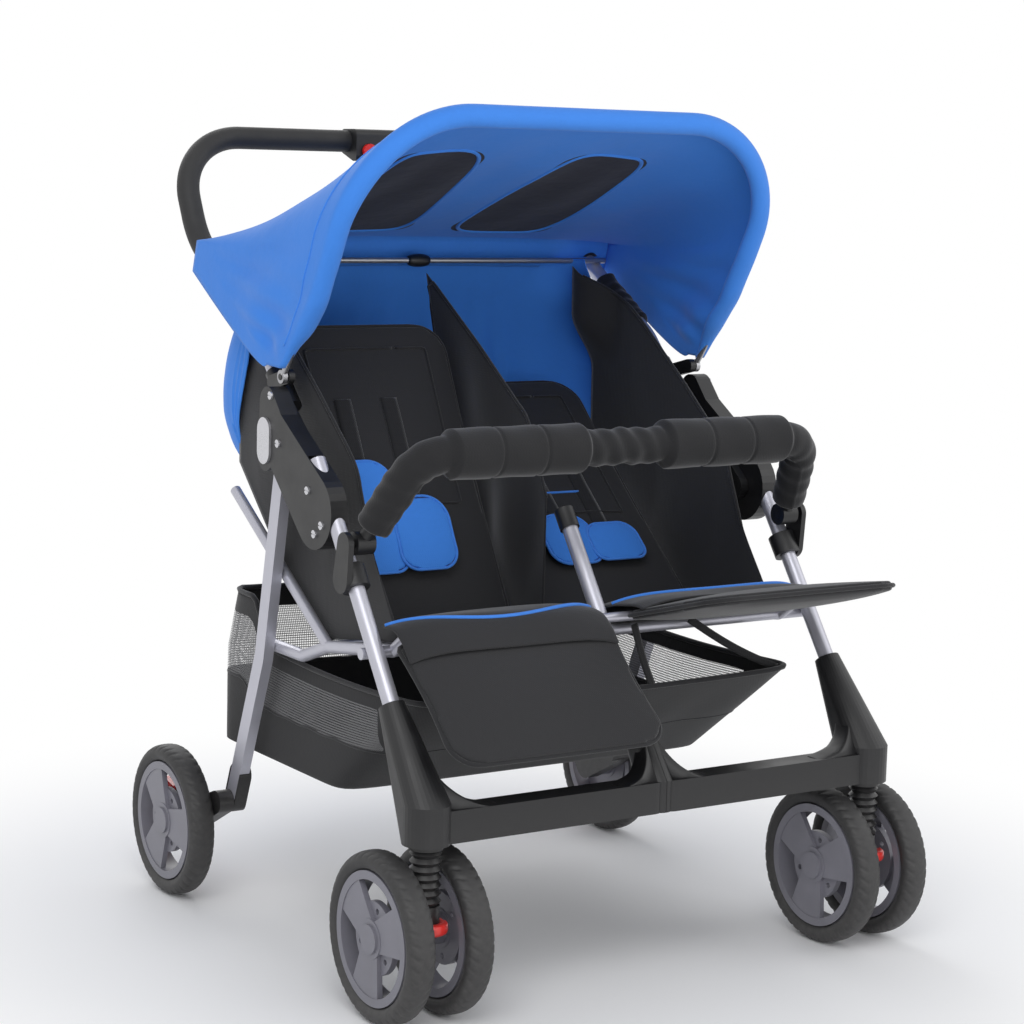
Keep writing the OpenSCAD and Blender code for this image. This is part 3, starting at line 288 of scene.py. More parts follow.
def startMaterial(name, fixed):
    mat = bpy.data.materials.new(name)
    mat.use_nodes = True
    shader = mat.node_tree.nodes["Principled BSDF"]
    for key, value in fixed.items():
        shader.inputs[key].default_value = value
    return mat, mat.node_tree, shader


# camera, light and floor

studio = {
    "eye": (-1.7239, -2.6560, 0.9681), "aim": (0.004, 0.012, 0.527), "up": (0.0654, 0.1469, 0.98698), "lens": 87.0,
    "floor": (0.93, 0.93, 0.935), "worldLight": 0.55,
    "lamps": [("key", (-2.2, -2.6, 3.2), 2.6, 62), ("fill", (2.9, -1.9, 2.1), 2.8, 26),
              ("back", (0.4, 3.0, 2.6), 2.4, 34), ("front", (-0.2, -3.6, 0.9), 2.2, 16)],
}


def makeStudio():
    scene = bpy.context.scene
    scene.view_settings.view_transform = "Standard"
    cam = bpy.data.cameras.new("camera")
    camera = bpy.data.objects.new("camera", cam)
    scene.collection.objects.link(camera)
    eye, ahead = Vector(studio["eye"]), (Vector(studio["aim"]) - Vector(studio["eye"])).normalized()
    right = ahead.cross(Vector(studio["up"])).normalized()
    lift = right.cross(ahead)
    camera.matrix_world = Matrix(((right.x, lift.x, -ahead.x, eye.x), (right.y, lift.y, -ahead.y, eye.y),
                                  (right.z, lift.z, -ahead.z, eye.z), (0, 0, 0, 1)))
    cam.lens, cam.sensor_width, cam.clip_end = studio["lens"], 36.0, 100.0
    scene.camera = camera
    for name, place, size, power in studio["lamps"]:
        lamp = bpy.data.lights.new(name, "AREA")
        lamp.size, lamp.energy = size, power
        lampObject = bpy.data.objects.new(name, lamp)
        scene.collection.objects.link(lampObject)
        lampObject.location = place
        lampObject.rotation_euler = (Vector((0, 0, 0.45)) - Vector(place)).to_track_quat("-Z", "Y").to_euler()
    world = bpy.data.worlds.new("studio")
    scene.world = world
    world.use_nodes = True
    tree = world.node_tree
    tree.nodes.clear()
    light = addNode(tree, "Background", {"Color": (0.93, 0.95, 1.0, 1), "Strength": studio["worldLight"]})
    back = addNode(tree, "Background", {"Color": (1, 1, 1, 1)})
    path = tree.nodes.new("ShaderNodeLightPath")
    seen = path.outputs["Is Camera Ray"]
    for kind in ("Is Glossy Ray", "Is Transmission Ray"):
        seen = mathNode(tree, "MAXIMUM", seen, path.outputs[kind])
    mix = addNode(tree, "MixShader", {0: seen, 1: light.outputs[0], 2: back.outputs[0]})
    addNode(tree, "OutputWorld", {0: mix.outputs[0]})
    # the floor: a disc that fades to plain white far from the part
    mat, tree, shader = startMaterial("paleFloor", {"Base Color": studio["floor"] + (1,), "Roughness": 0.9})
    reach = addNode(tree, "VectorMath", {0: coordsOf(tree)}, operation="LENGTH")
    ramp = addNode(tree, "MapRange", {"Value": reach.outputs["Value"], "From Min": 0.4, "From Max": 1.15},
                   interpolation_type="SMOOTHSTEP")
    glow = tree.nodes.new("ShaderNodeEmission")
    fade = addNode(tree, "MixShader", {0: ramp.outputs["Result"], 1: shader.outputs[0], 2: glow.outputs[0]})
    tree.links.new(fade.outputs[0], tree.nodes["Material Output"].inputs[0])
    u, v = np.meshgrid(np.linspace(0, 2 * np.pi, 97), np.linspace(0, 30000, 61), indexing="ij")
    floor = gridPiece("floor", np.stack([v * np.cos(u), v * np.sin(u) + shiftY, 0 * u], -1), mat, flip=True)
    print("studio ready")


makeStudio()


# shared effects, as node groups

def newGroup(name, setting, value, outputs):
    # a group of nodes with a vector, one setting and some numbers as its result
    group = bpy.data.node_groups.new(name, "ShaderNodeTree")
    group.interface.new_socket("Vector", in_out="INPUT", socket_type="NodeSocketVector")
    group.interface.new_socket(setting, in_out="INPUT", socket_type="NodeSocketFloat").default_value = value
    for label in outputs:
        group.interface.new_socket(label, in_out="OUTPUT", socket_type="NodeSocketFloat")
    given = group.nodes.new("NodeGroupInput").outputs
    return group, given["Vector"], given[setting], group.nodes.new("NodeGroupOutput").inputs


def makeWeave():
    # plain weave: threads along the axes, each passing over and under in turn
    group, vector, threads, result = newGroup("weave", "Threads", 900.0, ("Height", "Shade"))
    split = addNode(group, "SeparateXYZ", {0: vector}).outputs
    phases = [mathNode(group, "MULTIPLY", split[axis], threads) for axis in ("X", "Y", "Z")]
    waves = [mathNode(group, "SINE", mathNode(group, "MULTIPLY", phase, math.pi)) for phase in phases]
    first, second, third = (mathNode(group, "MULTIPLY", waves[k], waves[(k + 1) % 3]) for k in range(3))
    woven = mathNode(group, "ADD", mathNode(group, "ADD", first, second), third)
    slub = noiseNode(group, vector, 160.0, 2.0)
    mottle = mathNode(group, "ADD", noiseNode(group, vector, 7.0, 4.0), mathNode(group, "MULTIPLY", slub, 0.5))
    group.links.new(mathNode(group, "MULTIPLY_ADD", woven, 0.3, slub), result["Height"])
    group.links.new(mathNode(group, "MULTIPLY_ADD", mottle, 0.5, 0.62), result["Shade"])
    return group


def makeGrain():
    # moulded grain: fine cells with a slow change of gloss, and dust that settles low down
    group, vector, scale, result = newGroup("mouldGrain", "Scale", 900.0, ("Height", "Gloss", "Dust"))
    cell = addNode(group, "TexVoronoi", {"Vector": vector, "Scale": scale})
    split = addNode(group, "SeparateXYZ", {0: vector}).outputs
    low = addNode(group, "MapRange", {"Value": split["Z"], "From Min": 0.25, "From Max": 0.0}).outputs["Result"]
    speck = mathNode(group, "MULTIPLY", noiseNode(group, vector, 130.0, 6.0, 0.7), 0.35)
    group.links.new(cell.outputs["Distance"], result["Height"])
    group.links.new(noiseNode(group, vector, 24.0, 5.0), result["Gloss"])
    group.links.new(mathNode(group, "MULTIPLY", low, speck), result["Dust"])
    return group


weaveGroup, grainGroup = makeWeave(), makeGrain()


def useGroup(tree, group, vector, **setting):
    return addNode(tree, "Group", {"Vector": vector, **setting}, node_tree=group).outputs


def bumped(tree, shader, height, strength, distance):
    bump = addNode(tree, "Bump", {"Strength": strength, "Distance": distance, "Height": height})
    tree.links.new(bump.outputs[0], shader.inputs["Normal"])


def shadedColor(tree, shader, color, factor, low, high):
    # the base colour, darker and lighter by a slowly changing factor
    dark, light = (tuple(min(1.0, c * k) for c in color) + (1,) for k in (low, high))
    shaded = mixColor(tree, factor, dark, light)
    tree.links.new(shaded, shader.inputs["Base Color"])
    return shaded


def pointTest(tree, key, operation, limit):
    # 1 where the mesh's own value at a point passes the test
    return mathNode(tree, operation, addNode(tree, "Attribute", {}, attribute_name=key).outputs["Fac"], limit)


def rangeTo(tree, value, low, high):
    given = {"Value": value, "From Min": 0.25, "From Max": 0.75, "To Min": low, "To Max": high}
    return addNode(tree, "MapRange", given).outputs["Result"]


def clothFinish(name, color, threads, coords="Object", sheen=0.25, depth=0.00025):
    mat, tree, shader = startMaterial(name, {"Roughness": 0.82, "Sheen Weight": sheen, "Sheen Roughness": 0.45,
                                             "Specular IOR Level": 0.3})
    weave = useGroup(tree, weaveGroup, coordsOf(tree, coords), Threads=threads)
    shadedColor(tree, shader, color, weave["Shade"], 0.72, 1.2)
    bumped(tree, shader, weave["Height"], 0.55, depth)
    return mat


def mouldFinish(name, color, rough=(0.34, 0.5), scale=900.0, depth=0.00012, coat=0.0):
    mat, tree, shader = startMaterial(name, {"Coat Weight": coat})
    grain = useGroup(tree, grainGroup, coordsOf(tree), Scale=scale)
    shaded = shadedColor(tree, shader, color, grain["Gloss"], 0.8, 1.2)
    tree.links.new(mixColor(tree, grain["Dust"], shaded, (0.22, 0.21, 0.2, 1)), shader.inputs["Base Color"])
    tree.links.new(rangeTo(tree, grain["Gloss"], *rough), shader.inputs["Roughness"])
    bumped(tree, shader, grain["Height"], 0.35, depth)
    return mat


def metalFinish(name, color, metallic, rough):
    mat, tree, shader = startMaterial(name, {"Metallic": metallic})
    vector = coordsOf(tree)
    smear = noiseNode(tree, vector, 18.0, 5.0)
    shadedColor(tree, shader, color, smear, 0.9, 1.08)
    tree.links.new(rangeTo(tree, smear, *rough), shader.inputs["Roughness"])
    bumped(tree, shader, noiseNode(tree, vector, 420.0, 2.0), 0.12, 0.0001)
    return mat


colours = {"blue": (0.040, 0.195, 0.63), "black": (0.0175, 0.0175, 0.019), "mould": (0.0085, 0.0085, 0.0095),
           "tube": (0.50, 0.50, 0.56), "rim": (0.19, 0.187, 0.222), "red": (0.80, 0.020, 0.014)}

blackCloth = clothFinish("blackCloth", colours["black"], 620.0)
blackTwill = clothFinish("blackTwill", (0.010, 0.010, 0.0112), 480.0)
blueCloth = clothFinish("blueCloth", colours["blue"], 620.0, sheen=0.15)
blackPiping = clothFinish("blackPiping", (0.014, 0.014, 0.0155), 1500.0)
bluePiping = clothFinish("bluePiping", (0.045, 0.20, 0.65), 1500.0)
webbing = clothFinish("webbing", (0.011, 0.011, 0.012), 700.0, depth=0.0004)
foamSkin = mouldFinish("foamSkin", (0.014, 0.014, 0.015), (0.55, 0.7), 620.0, 0.0003)
blackMould = mouldFinish("blackMould", colours["mould"])
tyreRubber = mouldFinish("tyreRubber", (0.017, 0.017, 0.018), (0.5, 0.66), 500.0, 0.0002)
rimMould = mouldFinish("rimMould", colours["rim"], (0.3, 0.42), 1400.0, 0.00005)
redMould = mouldFinish("redMould", colours["red"], (0.24, 0.34), 1400.0, 0.00004, coat=0.2)
tubeLacquer = metalFinish("tubeLacquer", colours["tube"], 0.55, (0.28, 0.42))
trimSilver = metalFinish("trimSilver", (0.58, 0.58, 0.61), 0.8, (0.22, 0.34))
wireSteel = metalFinish("wireSteel", (0.42, 0.42, 0.44), 0.9, (0.3, 0.45))
print("finishes ready")


def dressNodes():
    # the first finish with a word that is in the solid's name
    finishes = [(tubeLacquer, "front_leg rear_leg_ seat_frame handle_tube"),
                (wireSteel, "basket_stay canopy_bow canopy_rod"), (trimSilver, "oval_caps frame_screws"),
                (redMould, "brake_pedal swivel_lock fold_button"), (foamSkin, "handle_grips"),
                (tyreRubber, "tyre"), (rimMould, "rim"),
                (blueCloth, "canopy_sheet rear_curtain harness"), (blackCloth, "seat_pad backrest leg_rest wing"),
                (blackTwill, "basket sleeves bumper_foam")]
    for name, node in nodes.items():
        finish = next((m for m, words in finishes if any(word in name for word in words.split())), blackMould)
        node.data.materials.clear()
        node.data.materials.append(finish)
    print("solids dressed")


dressNodes()

# the bellows, which shorten with the caster springs (64.9 mm free, 10 mm of travel), each get a mesh of their own
for side, s in bothSides:
    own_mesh(nodes["caster_bellows_" + side])


# hood: one cloth over the bow and the rear rod, with a padded front edge

hood = {
    "socket": (62.0, 708.0), "bowTop": (-108.0, 1030.0), "halfWidth": 325.0, "height": 373.1, "bulge": 26.0,
    "cornerR": 165.0, "rise": 13.0, "rod": (274.4, 841.2), "rearLift": 14.0, "hem": (26.0, 10.0), "crown": 15.0,
    "edgeR": 14.0, "edgeTurn": 225.0, "sag": 9.0, "folds": 4.4, "skirt": (12.0, -40.0), "wall": 1.8,
    "windowMid": (126.0, 109.0), "windowFront": 65.0, "windowRear": 80.0, "windowFrom": 0.28, "windowTo": 0.93,
    "windowCorner": 26.0, "rimShare": 0.09, "sideShare": 0.17, "cornerShare": 0.2,
}


def hoodArch():
    # right foot, up the side, round the corner, over the top and down again: x, height on the bow, share round
    w, h, r = hood["halfWidth"], hood["height"], hood["cornerR"]
    p = np.linspace(0, h - r, 40)
    a = np.linspace(0, np.pi / 2, 30)[1:]
    t = np.linspace(1, 0, 40)[1:]
    x = np.r_[np.full(40, w), w - r + r * np.cos(a), (w - r) * t]
    up = np.r_[p, h - r + r * np.sin(a), np.full(39, h)]
    a0, b0 = hood["sideShare"], hood["cornerShare"]
    m = np.r_[a0 * p / (h - r), a0 + b0 * a / (np.pi / 2), 0.5 - (0.5 - a0 - b0) * t]
    return np.r_[-x, x[-2::-1]], np.r_[up, up[-2::-1]], np.r_[m, m[-2::-1]]


def hoodSurface(v):
    # front edge on the bow, rear edge on the rod, straight between, then sagged and creased
    x, up, m = hoodArch()
    socket, top, rod = (np.array(hood[k]) for k in ("socket", "bowTop", "rod"))
    lift = unit(top - socket)
    share = (up / hood["height"])[:, None]
    bow = hood["bulge"] * np.sin(np.pi * share) * np.array([-lift[1], lift[0]])
    front = mixed(socket, top, share) + bow + hood["rise"] * lift
    along = np.minimum(1, m / hood["sideShare"])[:, None]
    rear = mixed(socket + np.array(hood["hem"]), rod + hood["rearLift"], along)
    rear = rear + np.stack([0 * m, 3 + hood["crown"] * np.sin(np.pi * m)], 1)
    yz = mixed(front[:, None], rear[:, None], np.clip(v, 0, 1)[None, :, None])
    xx = np.broadcast_to(x[:, None], yz.shape[:2]).copy()
    bay = np.sin(np.pi * np.clip(v, 0, 1))[None, :]
    roof = smoothStep(0.6, 1.0, along)
    yz[..., 1] -= hood["sag"] * bay * roof * (1 - 0.35 * np.cos(x / 105.0)[:, None])
    # creases that fan out from the pivot on the sides, and shallow ones across the roof
    fan = (np.sin(9.0 * along + 5.0 * v[None, :]) + 0.5 * np.sin(21.0 * along - 9.0 * v[None, :])) * (1 - along) ** 0.5
    xx += np.sign(x)[:, None] * hood["folds"] * 1.6 * fan * bay * smoothStep(0.02, 0.3, along)
    pull = np.sin(x[:, None] / 17.0 + 6 * v[None, :]) + 0.9 * np.sin(x[:, None] / 41.0 - 11 * v[None, :] + 1)
    yz[..., 1] += 1.5 * pull * bay ** 1.3 * roof
    past = np.clip(v - 1, 0, 1)[None, :]                       # the skirt behind the rod
    yz[..., 0] += past / 0.1 * hood["skirt"][0] * np.sqrt(along)
    yz[..., 1] += past / 0.1 * hood["skirt"][1] * np.sqrt(along)
    return np.concatenate([xx[..., None], yz], -1)


def hoodFinish():
    mat, tree, shader = startMaterial("hoodCloth", {"Roughness": 0.78, "Sheen Weight": 0.12, "Specular IOR Level": 0.3})
    weave = useGroup(tree, weaveGroup, coordsOf(tree, "UV"), Threads=620.0)
    cloth = shadedColor(tree, shader, colours["blue"], weave["Shade"], 0.78, 1.16)
    inside = pointTest(tree, "windowEdge", "LESS_THAN", 0.0)
    tree.links.new(mixColor(tree, inside, cloth, (0.010, 0.011, 0.022, 1)), shader.inputs["Base Color"])
    # shallow creases under the weave
    creases = noiseNode(tree, coordsOf(tree), 11.0, 4.0)
    tall = mathNode(tree, "MULTIPLY_ADD", creases, 9.0, mathNode(tree, "MULTIPLY", weave["Height"], 0.35))
    bumped(tree, shader, tall, 0.6, 0.0006)
    return mat


def fitToHood(piece):
    # cloth between the rod on the handle and the bow, with its placement worked into the mesh
    framePoint(0, 255, 850)
    framePoint(0, -80, 1015)
    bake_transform(piece)


def windowAt(depth):
    # middle and half width of a roof window, at a share of its depth
    return mixed(*hood["windowMid"], depth), mixed(hood["windowFront"], hood["windowRear"], depth)


def makeHood():
    v = np.r_[np.linspace(0, 1, 56), np.linspace(1, 1.1, 6)[1:]]
    sheet = hoodSurface(v)
    edgeU = unit(np.gradient(sheet[:, 0], axis=0))
    back = unit(sheet[:, 2] - sheet[:, 0])
    out = unit(np.cross(edgeU, back))
    step = np.arange(len(sheet))
    fromFoot = np.minimum(step, step[::-1]) * 4.0
    r = hood["edgeR"] * mixed(0.45, 1.0, smoothStep(0, 60, fromFoot))[:, None, None]
    ang = np.radians(np.linspace(hood["edgeTurn"], 0, 20))[None, :-1, None]
    roll = sheet[:, :1] - out[:, None] * r + r * (out[:, None] * np.cos(ang) - back[:, None] * np.sin(ang))
    pts = np.concatenate([roll, sheet], 1)
    run = np.zeros(pts.shape[:2])
    run[:, 1:] = np.cumsum(np.linalg.norm(np.diff(pts, axis=1), axis=2), axis=1)
    across = lengthsAlong(sheet[:, 30])
    uv = np.stack([np.broadcast_to(across[:, None], run.shape), run], -1) / 1000.0
    share = np.r_[np.full(19, -1.0), v][None, :]
    roofRun = 430.0
    paneFrom, paneTo, bend = hood["windowFrom"], hood["windowTo"], hood["windowCorner"]
    paneMid, paneHalf = (paneFrom + paneTo) / 2, (paneTo - paneFrom) / 2
    mid, half = windowAt(np.clip((share - paneFrom) / (paneTo - paneFrom), 0, 1))
    lane = np.abs(np.abs(pts[..., 0]) - mid) - half + bend
    span = (np.abs(share - paneMid) - paneHalf) * roofRun + bend
    far = np.hypot(np.maximum(lane, 0), np.maximum(span + 0 * lane, 0)) + np.minimum(np.maximum(lane, span), 0) - bend
    piece = gridPiece("hoodCloth", pts, hoodFinish(), uv=uv, masks={"windowEdge": far / 1000.0})
    thicken(piece, hood["wall"])
    fitToHood(piece)
    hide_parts("canopy_sheet")
    # a sewn line behind the padded rim, and a folded binding round each window
    lines = [("hoodRimSeam", sheet[7:-7, int(round(hood["rimShare"] * 55))], 1.5, False)]
    t = aroundCircle(160)
    a, b = signedPower(np.cos(t), 0.42), signedPower(np.sin(t), 0.42)
    mid, half = windowAt((b + 1) / 2)
    for side, s in bothSides:
        row = np.interp(s * (mid + a * half), hoodArch()[0], step)
        col = np.interp(paneMid + b * paneHalf, v, np.arange(len(v)))
        i, j = row.astype(int), col.astype(int)
        fi, fj = (row - i)[:, None], (col - j)[:, None]
        path = mixed(mixed(sheet[i, j], sheet[i + 1, j], fi), mixed(sheet[i, j + 1], sheet[i + 1, j + 1], fi), fj)
        lines.append(("windowBinding_" + side, path - [0, 0, 0.6], 3.2, True))
    for name, path, radius, closed in lines:
        fitToHood(tubePiece(name, path, radius, blueCloth, sides=10, closed=closed))


makeHood()


# rear curtain: hangs from the rod, turns both corners and ends in rounded side tabs

curtain = {
    "top": 836.0, "low": 474.0, "backZ": (836, 748, 626, 520, 455), "backY": (290, 338, 352, 353, 347),
    "tabZ": (470, 512, 580, 629, 676, 716, 740, 772, 800, 840), "tabY": (262, 256, 258, 244, 224, 212, 222, 262, 285, 286),
    "halfZ": (470, 540, 590, 630, 668, 704, 745, 785, 836), "half": (226, 246, 276, 286, 288, 287, 282, 262, 256),
    "corner": (130, 130, 104, 90, 88, 92, 100, 90, 40), "fold": 5.5, "folds": 7.0, "wall": 1.6,
}


def makeCurtain():
    # each row is a rounded U in plan; its depth follows the hanging profile and its ends follow the tab outline
    c = curtain
    z = np.linspace(c["top"], c["low"], 64)
    drop = (c["top"] - z) / (c["top"] - c["low"])
    order = np.argsort(c["backZ"])
    back = np.interp(z, np.array(c["backZ"])[order], np.array(c["backY"])[order])
    back = evened(back, 13)
    tab = evened(np.interp(z, c["tabZ"], c["tabY"]), 5)
    half, r = (evened(np.interp(z, c["halfZ"], c[k]), 5) for k in ("half", "corner"))
    sideRun = np.maximum(back - r - np.minimum(tab, back - r - 1), 1.0)
    s = np.linspace(0, 1, 26)[:-1]
    a = np.linspace(0, np.pi / 2, 16)[:-1]
    t = np.linspace(0, 1, 70)
    sideX = np.broadcast_to(-half[:, None], (64, 25))
    sideY = (back - r - sideRun)[:, None] + sideRun[:, None] * s
    arcX = -half[:, None] + r[:, None] * (1 - np.cos(a))
    arcY = (back - r)[:, None] + r[:, None] * np.sin(a)
    rearX = mixed((-half + r)[:, None], 0, t)
    rearY = back[:, None] + 5 * np.sin(np.pi / 2 * t)
    x = np.concatenate([sideX, arcX, rearX], 1)
    y = np.concatenate([sideY, arcY, rearY], 1)
    x, y = np.concatenate([x, -x[:, -2::-1]], 1), np.concatenate([y, y[:, -2::-1]], 1)
    u = np.linspace(-1, 1, x.shape[1])[None, :]
    hang = smoothStep(0.03, 0.7, drop)[:, None]
    ripple = np.cos(2 * np.pi * c["folds"] * u + 0.8 * np.sin(3 * u)) + 0.4 * np.sin(31 * u + 4 * drop[:, None])
    wave = c["fold"] * hang * ripple
    rearPart = smoothStep(0.25, 0.45, 1 - np.abs(u))
    y = y + wave * rearPart
    x = x - np.sign(u) * np.abs(wave) * 0.35 * (1 - rearPart)
    hemWave, hemDip = 6 * drop[:, None] ** 4 * np.cos(5 * u), 12 * drop[:, None] ** 3 * (1 - np.abs(u))
    zz = np.broadcast_to(z[:, None], x.shape) + hemWave - hemDip + 8
    pts = np.swapaxes(np.stack([x, y, zz], -1), 0, 1)
    uv = np.stack([np.broadcast_to(np.linspace(0, 0.86, pts.shape[0])[:, None], pts.shape[:2]),
                   np.broadcast_to(np.linspace(0, 0.38, pts.shape[1])[None], pts.shape[:2])], -1)
    curtainCloth = clothFinish("curtainCloth", colours["blue"], 620.0, "UV", sheen=0.12)
    piece = gridPiece("rearCurtain", pts, curtainCloth, uv=uv, flip=True)
    thicken(piece, c["wall"])
    fit(piece, "handle_frame", "rear_curtain")
    framePoint(0, 290, 840)
    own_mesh(piece)


makeCurtain()

# padded seats: crowned closed forms, swollen by cloth pressure between their seams

padSim = {"voxel": 0.0055, "pressure": 4.0, "frames": 20, "stiff": 12.0}
pads = {
    "seat": {"w": 250.0, "l": 163.0, "edge": 11.0, "crown": 9.0, "near": 14.0, "far": 10.0,
             "seams": (1 / 3, 2 / 3), "cap": 8.0, "fill": 0.6},
    "back": {"w": 250.0, "l": 405.0, "edge": 11.0, "crown": 8.0, "near": 14.0, "far": 42.0,
             "seams": (0.25, 0.5, 0.75), "cap": 9.0, "fill": 0.55},
    "leg": {"w": 296.0, "l": 176.0, "edge": 11.0, "crown": 7.0, "near": 8.0, "far": 36.0,
            "seams": (), "cap": 7.0, "fill": 0.5, "belly": 9.0},
    "chest": {"edge": 6.0, "crown": 3.0, "seams": (), "cap": 5.0, "fill": 0.7},
}
chest = {                            # shift across, distance up, lift off the back, width and height of each lobe
    "right": ((-53, 62, 23.0, 84, 150), (14, 62, 26.5, 84, 98)),
    "left": ((-28, 62, 23.0, 84, 84), (38, 62, 26.5, 84, 62)),
}
strapTop = 300.0                     # where the shoulder straps enter the back


def padHalf(p, y):
    # half width at each distance along the pad: corners rounded at both ends, sides drawn in between
    near, far = p["near"], p["far"]
    a = np.clip(1 - y / near, 0, 1)
    b = np.clip(1 - (p["l"] - y) / far, 0, 1)
    pull = 0.018 * p["w"] * np.sin(np.pi * np.clip(y / p["l"], 0, 1))
    return p["w"] / 2 - near * (1 - np.sqrt(1 - a ** 2)) - far * (1 - np.sqrt(1 - b ** 2)) - pull


def padShell(name, p, mat):
    # rings across the pad: edge + crown (1 - |u|^3)(1 - |2v - 1|^3) above, flat or a shallow belly below
    y = p["l"] * 0.5 * (1 - np.cos(np.linspace(0.0, np.pi, 61)))
    half = np.maximum(padHalf(p, y), 2.0)[:, None]
    u = np.linspace(-1, 1, 41)
    swellV = (1 - np.abs(2 * y / p["l"] - 1) ** 3)[:, None]
    top = p["edge"] + p["crown"] * (1 - np.abs(u) ** 3)[None, ::-1] * swellV
    x = np.concatenate([half * u, half * u[::-1]], 1)
    low = -p.get("belly", 0.0) * (1 - u ** 4)[None, :] * np.sqrt(swellV)
    z = np.concatenate([low, top], 1)
    pts = np.stack([x, np.broadcast_to(y[:, None], x.shape), z], -1)
    return skinPiece(name, pts + [0, shiftY, 0], mat)


def applied(piece):
    # the mesh with its modifiers worked in
    graph = bpy.context.evaluated_depsgraph_get()
    mesh = bpy.data.meshes.new_from_object(piece.evaluated_get(graph), depsgraph=graph)
    piece.modifiers.clear()
    piece.data = mesh
    return mesh


def swell(piece, held, cap):
    # an even voxel skin, blown up by inner pressure where no seam holds it, moved at most cap
    mod = piece.modifiers.new("skin", "REMESH")
    mod.mode, mod.voxel_size = "VOXEL", padSim["voxel"]
    mesh = applied(piece)
    start = meshCo(mesh)
    pinned = np.nonzero(held(start * 1000.0))[0]
    piece.vertex_groups.new(name="seams").add(pinned.tolist(), 1.0, "REPLACE")
    cloth = piece.modifiers.new("cloth", "CLOTH")
    s = cloth.settings
    s.quality, s.mass, s.use_pressure, s.uniform_pressure_force = 4, 0.25, True, padSim["pressure"]
    s.tension_stiffness = s.compression_stiffness = padSim["stiff"]
    s.bending_stiffness = 0.4
    s.vertex_group_mass = "seams"
    s.effector_weights.gravity = 0.0
    cloth.collision_settings.use_collision = False
    cloth.point_cache.frame_start, cloth.point_cache.frame_end = 1, padSim["frames"]
    scene = bpy.context.scene
    for step in range(1, padSim["frames"] + 1):
        scene.frame_set(step)
    graph = bpy.context.evaluated_depsgraph_get()
    moved = piece.evaluated_get(graph).to_mesh()
    end = meshCo(moved)
    piece.evaluated_get(graph).to_mesh_clear()
    piece.modifiers.clear()
    piece.vertex_groups.clear()
    scene.frame_set(1)
    shift = end - start
    far = np.maximum(np.linalg.norm(shift, axis=1, keepdims=True), 1e-9)
    mesh.vertices.foreach_set("co", (start + shift * np.minimum(1, cap / 1000.0 / far)).ravel())
    mesh.update()


def sewnPad(name, p, mat, extra=None):
    pad = padShell(name, p, mat)
    swell(pad, seamHold(p, extra), p["cap"])
    return pad


def softened(pad):
    applied(rounded(pad))


def seamHold(p, extra=None):
    # true along the border, on the sewn channels and on the flat underside
    def held(co):
        half = padHalf(p, np.clip(co[:, 1], 0, p["l"]))
        rim = np.minimum(half - np.abs(co[:, 0]), np.minimum(co[:, 1], p["l"] - co[:, 1]))
        on = (rim < 6) | (co[:, 2] < 2.5)
        for v in p["seams"]:
            on |= (np.abs(co[:, 1] - v * p["l"]) < 3.2) & (rim < 200)
        if extra is not None:
            on |= extra(co, rim)
        return on
    return held


def outline(p, inset, count=160):
    # the border as a closed loop, from the pad's own half width
    y = p["l"] * 0.5 * (1 - np.cos(np.linspace(0.0, np.pi, 90)))
    y = inset + y * (1 - 2 * inset / p["l"])
    half = np.maximum(padHalf(p, y) - inset, 1.0)
    loop = np.concatenate([np.stack([half, y], 1), np.stack([-half, y], 1)[::-1]])
    return alongPoints(np.concatenate([loop, loop[:1]]), count + 1)[:-1]


def liftOnto(piece, xy, above):
    # points set on the piece's upper side, a little above it
    tree = BVHTree.FromPolygons([v.co[:] for v in piece.data.vertices], [f.vertices[:] for f in piece.data.polygons])
    hits = [tree.ray_cast(Vector((a / 1000, b / 1000, 0.3)), Vector((0, 0, -1)))[0] for a, b in xy]
    z = np.array([h.z * 1000 if h else np.nan for h in hits])
    good = ~np.isnan(z)
    z = np.interp(np.arange(len(z)), np.nonzero(good)[0], z[good])
    return np.column_stack([xy, evened(z, 5) + above])


def localTube(name, path, radius, mat, closed=False, sides=10):
    return tubePiece(name, path + [0, shiftY, 0], radius, mat, sides=sides, closed=closed)


def edging(p, inset, height, radius, mat):
    # piping round the border of a pad
    return localTube("edge", np.column_stack([outline(p, inset), np.full(160, height)]), radius, mat, True)


def ribbon(name, path, width, mat):
    # a flat strap: five lines side by side along a path, a little crowned, with a wall
    across = np.linspace(-0.5, 0.5, 5)[None, :]
    pts = np.broadcast_to(path[:, None], (len(path), 5, 3)).copy()
    pts[..., 0] += across * width
    pts[..., 2] += 0.5 - 2 * across ** 2
    piece = thicken(gridPiece(name, pts + [0, shiftY, 0], mat, flip=True), 1.6)
    applied(piece)
    return piece


def seatBuckle(at):
    # a wire slider: a rounded loop with a bar across it
    t = aroundCircle(40)
    loop = np.stack([17 * signedPower(np.cos(t), 0.5), 11 * signedPower(np.sin(t), 0.5), 0 * t], 1)
    bar = np.stack([np.linspace(-16, 16, 12), np.zeros(12), np.full(12, 1.5)], 1)
    return joinPieces("slider", [localTube("loop", loop + at, 1.6, trimSilver, True, 8),
                                 localTube("bar", bar + at, 1.4, trimSilver, False, 8)])


def placePiece(piece, name, x, yz, tilt, turn=0.0):
    # a copy of a flat-made piece, turned about X and set in place
    copy = bpy.data.objects.new(name, piece.data.copy())
    bpy.context.scene.collection.objects.link(copy)
    at = toFrame((x, yz[0], yz[1]))
    m = Matrix.Translation(at) @ Matrix.Rotation(math.radians(tilt), 4, "X") @ Matrix.Rotation(math.radians(turn), 4, "Z")
    copy.data.transform(m)
    copy.data.update()
    return copy


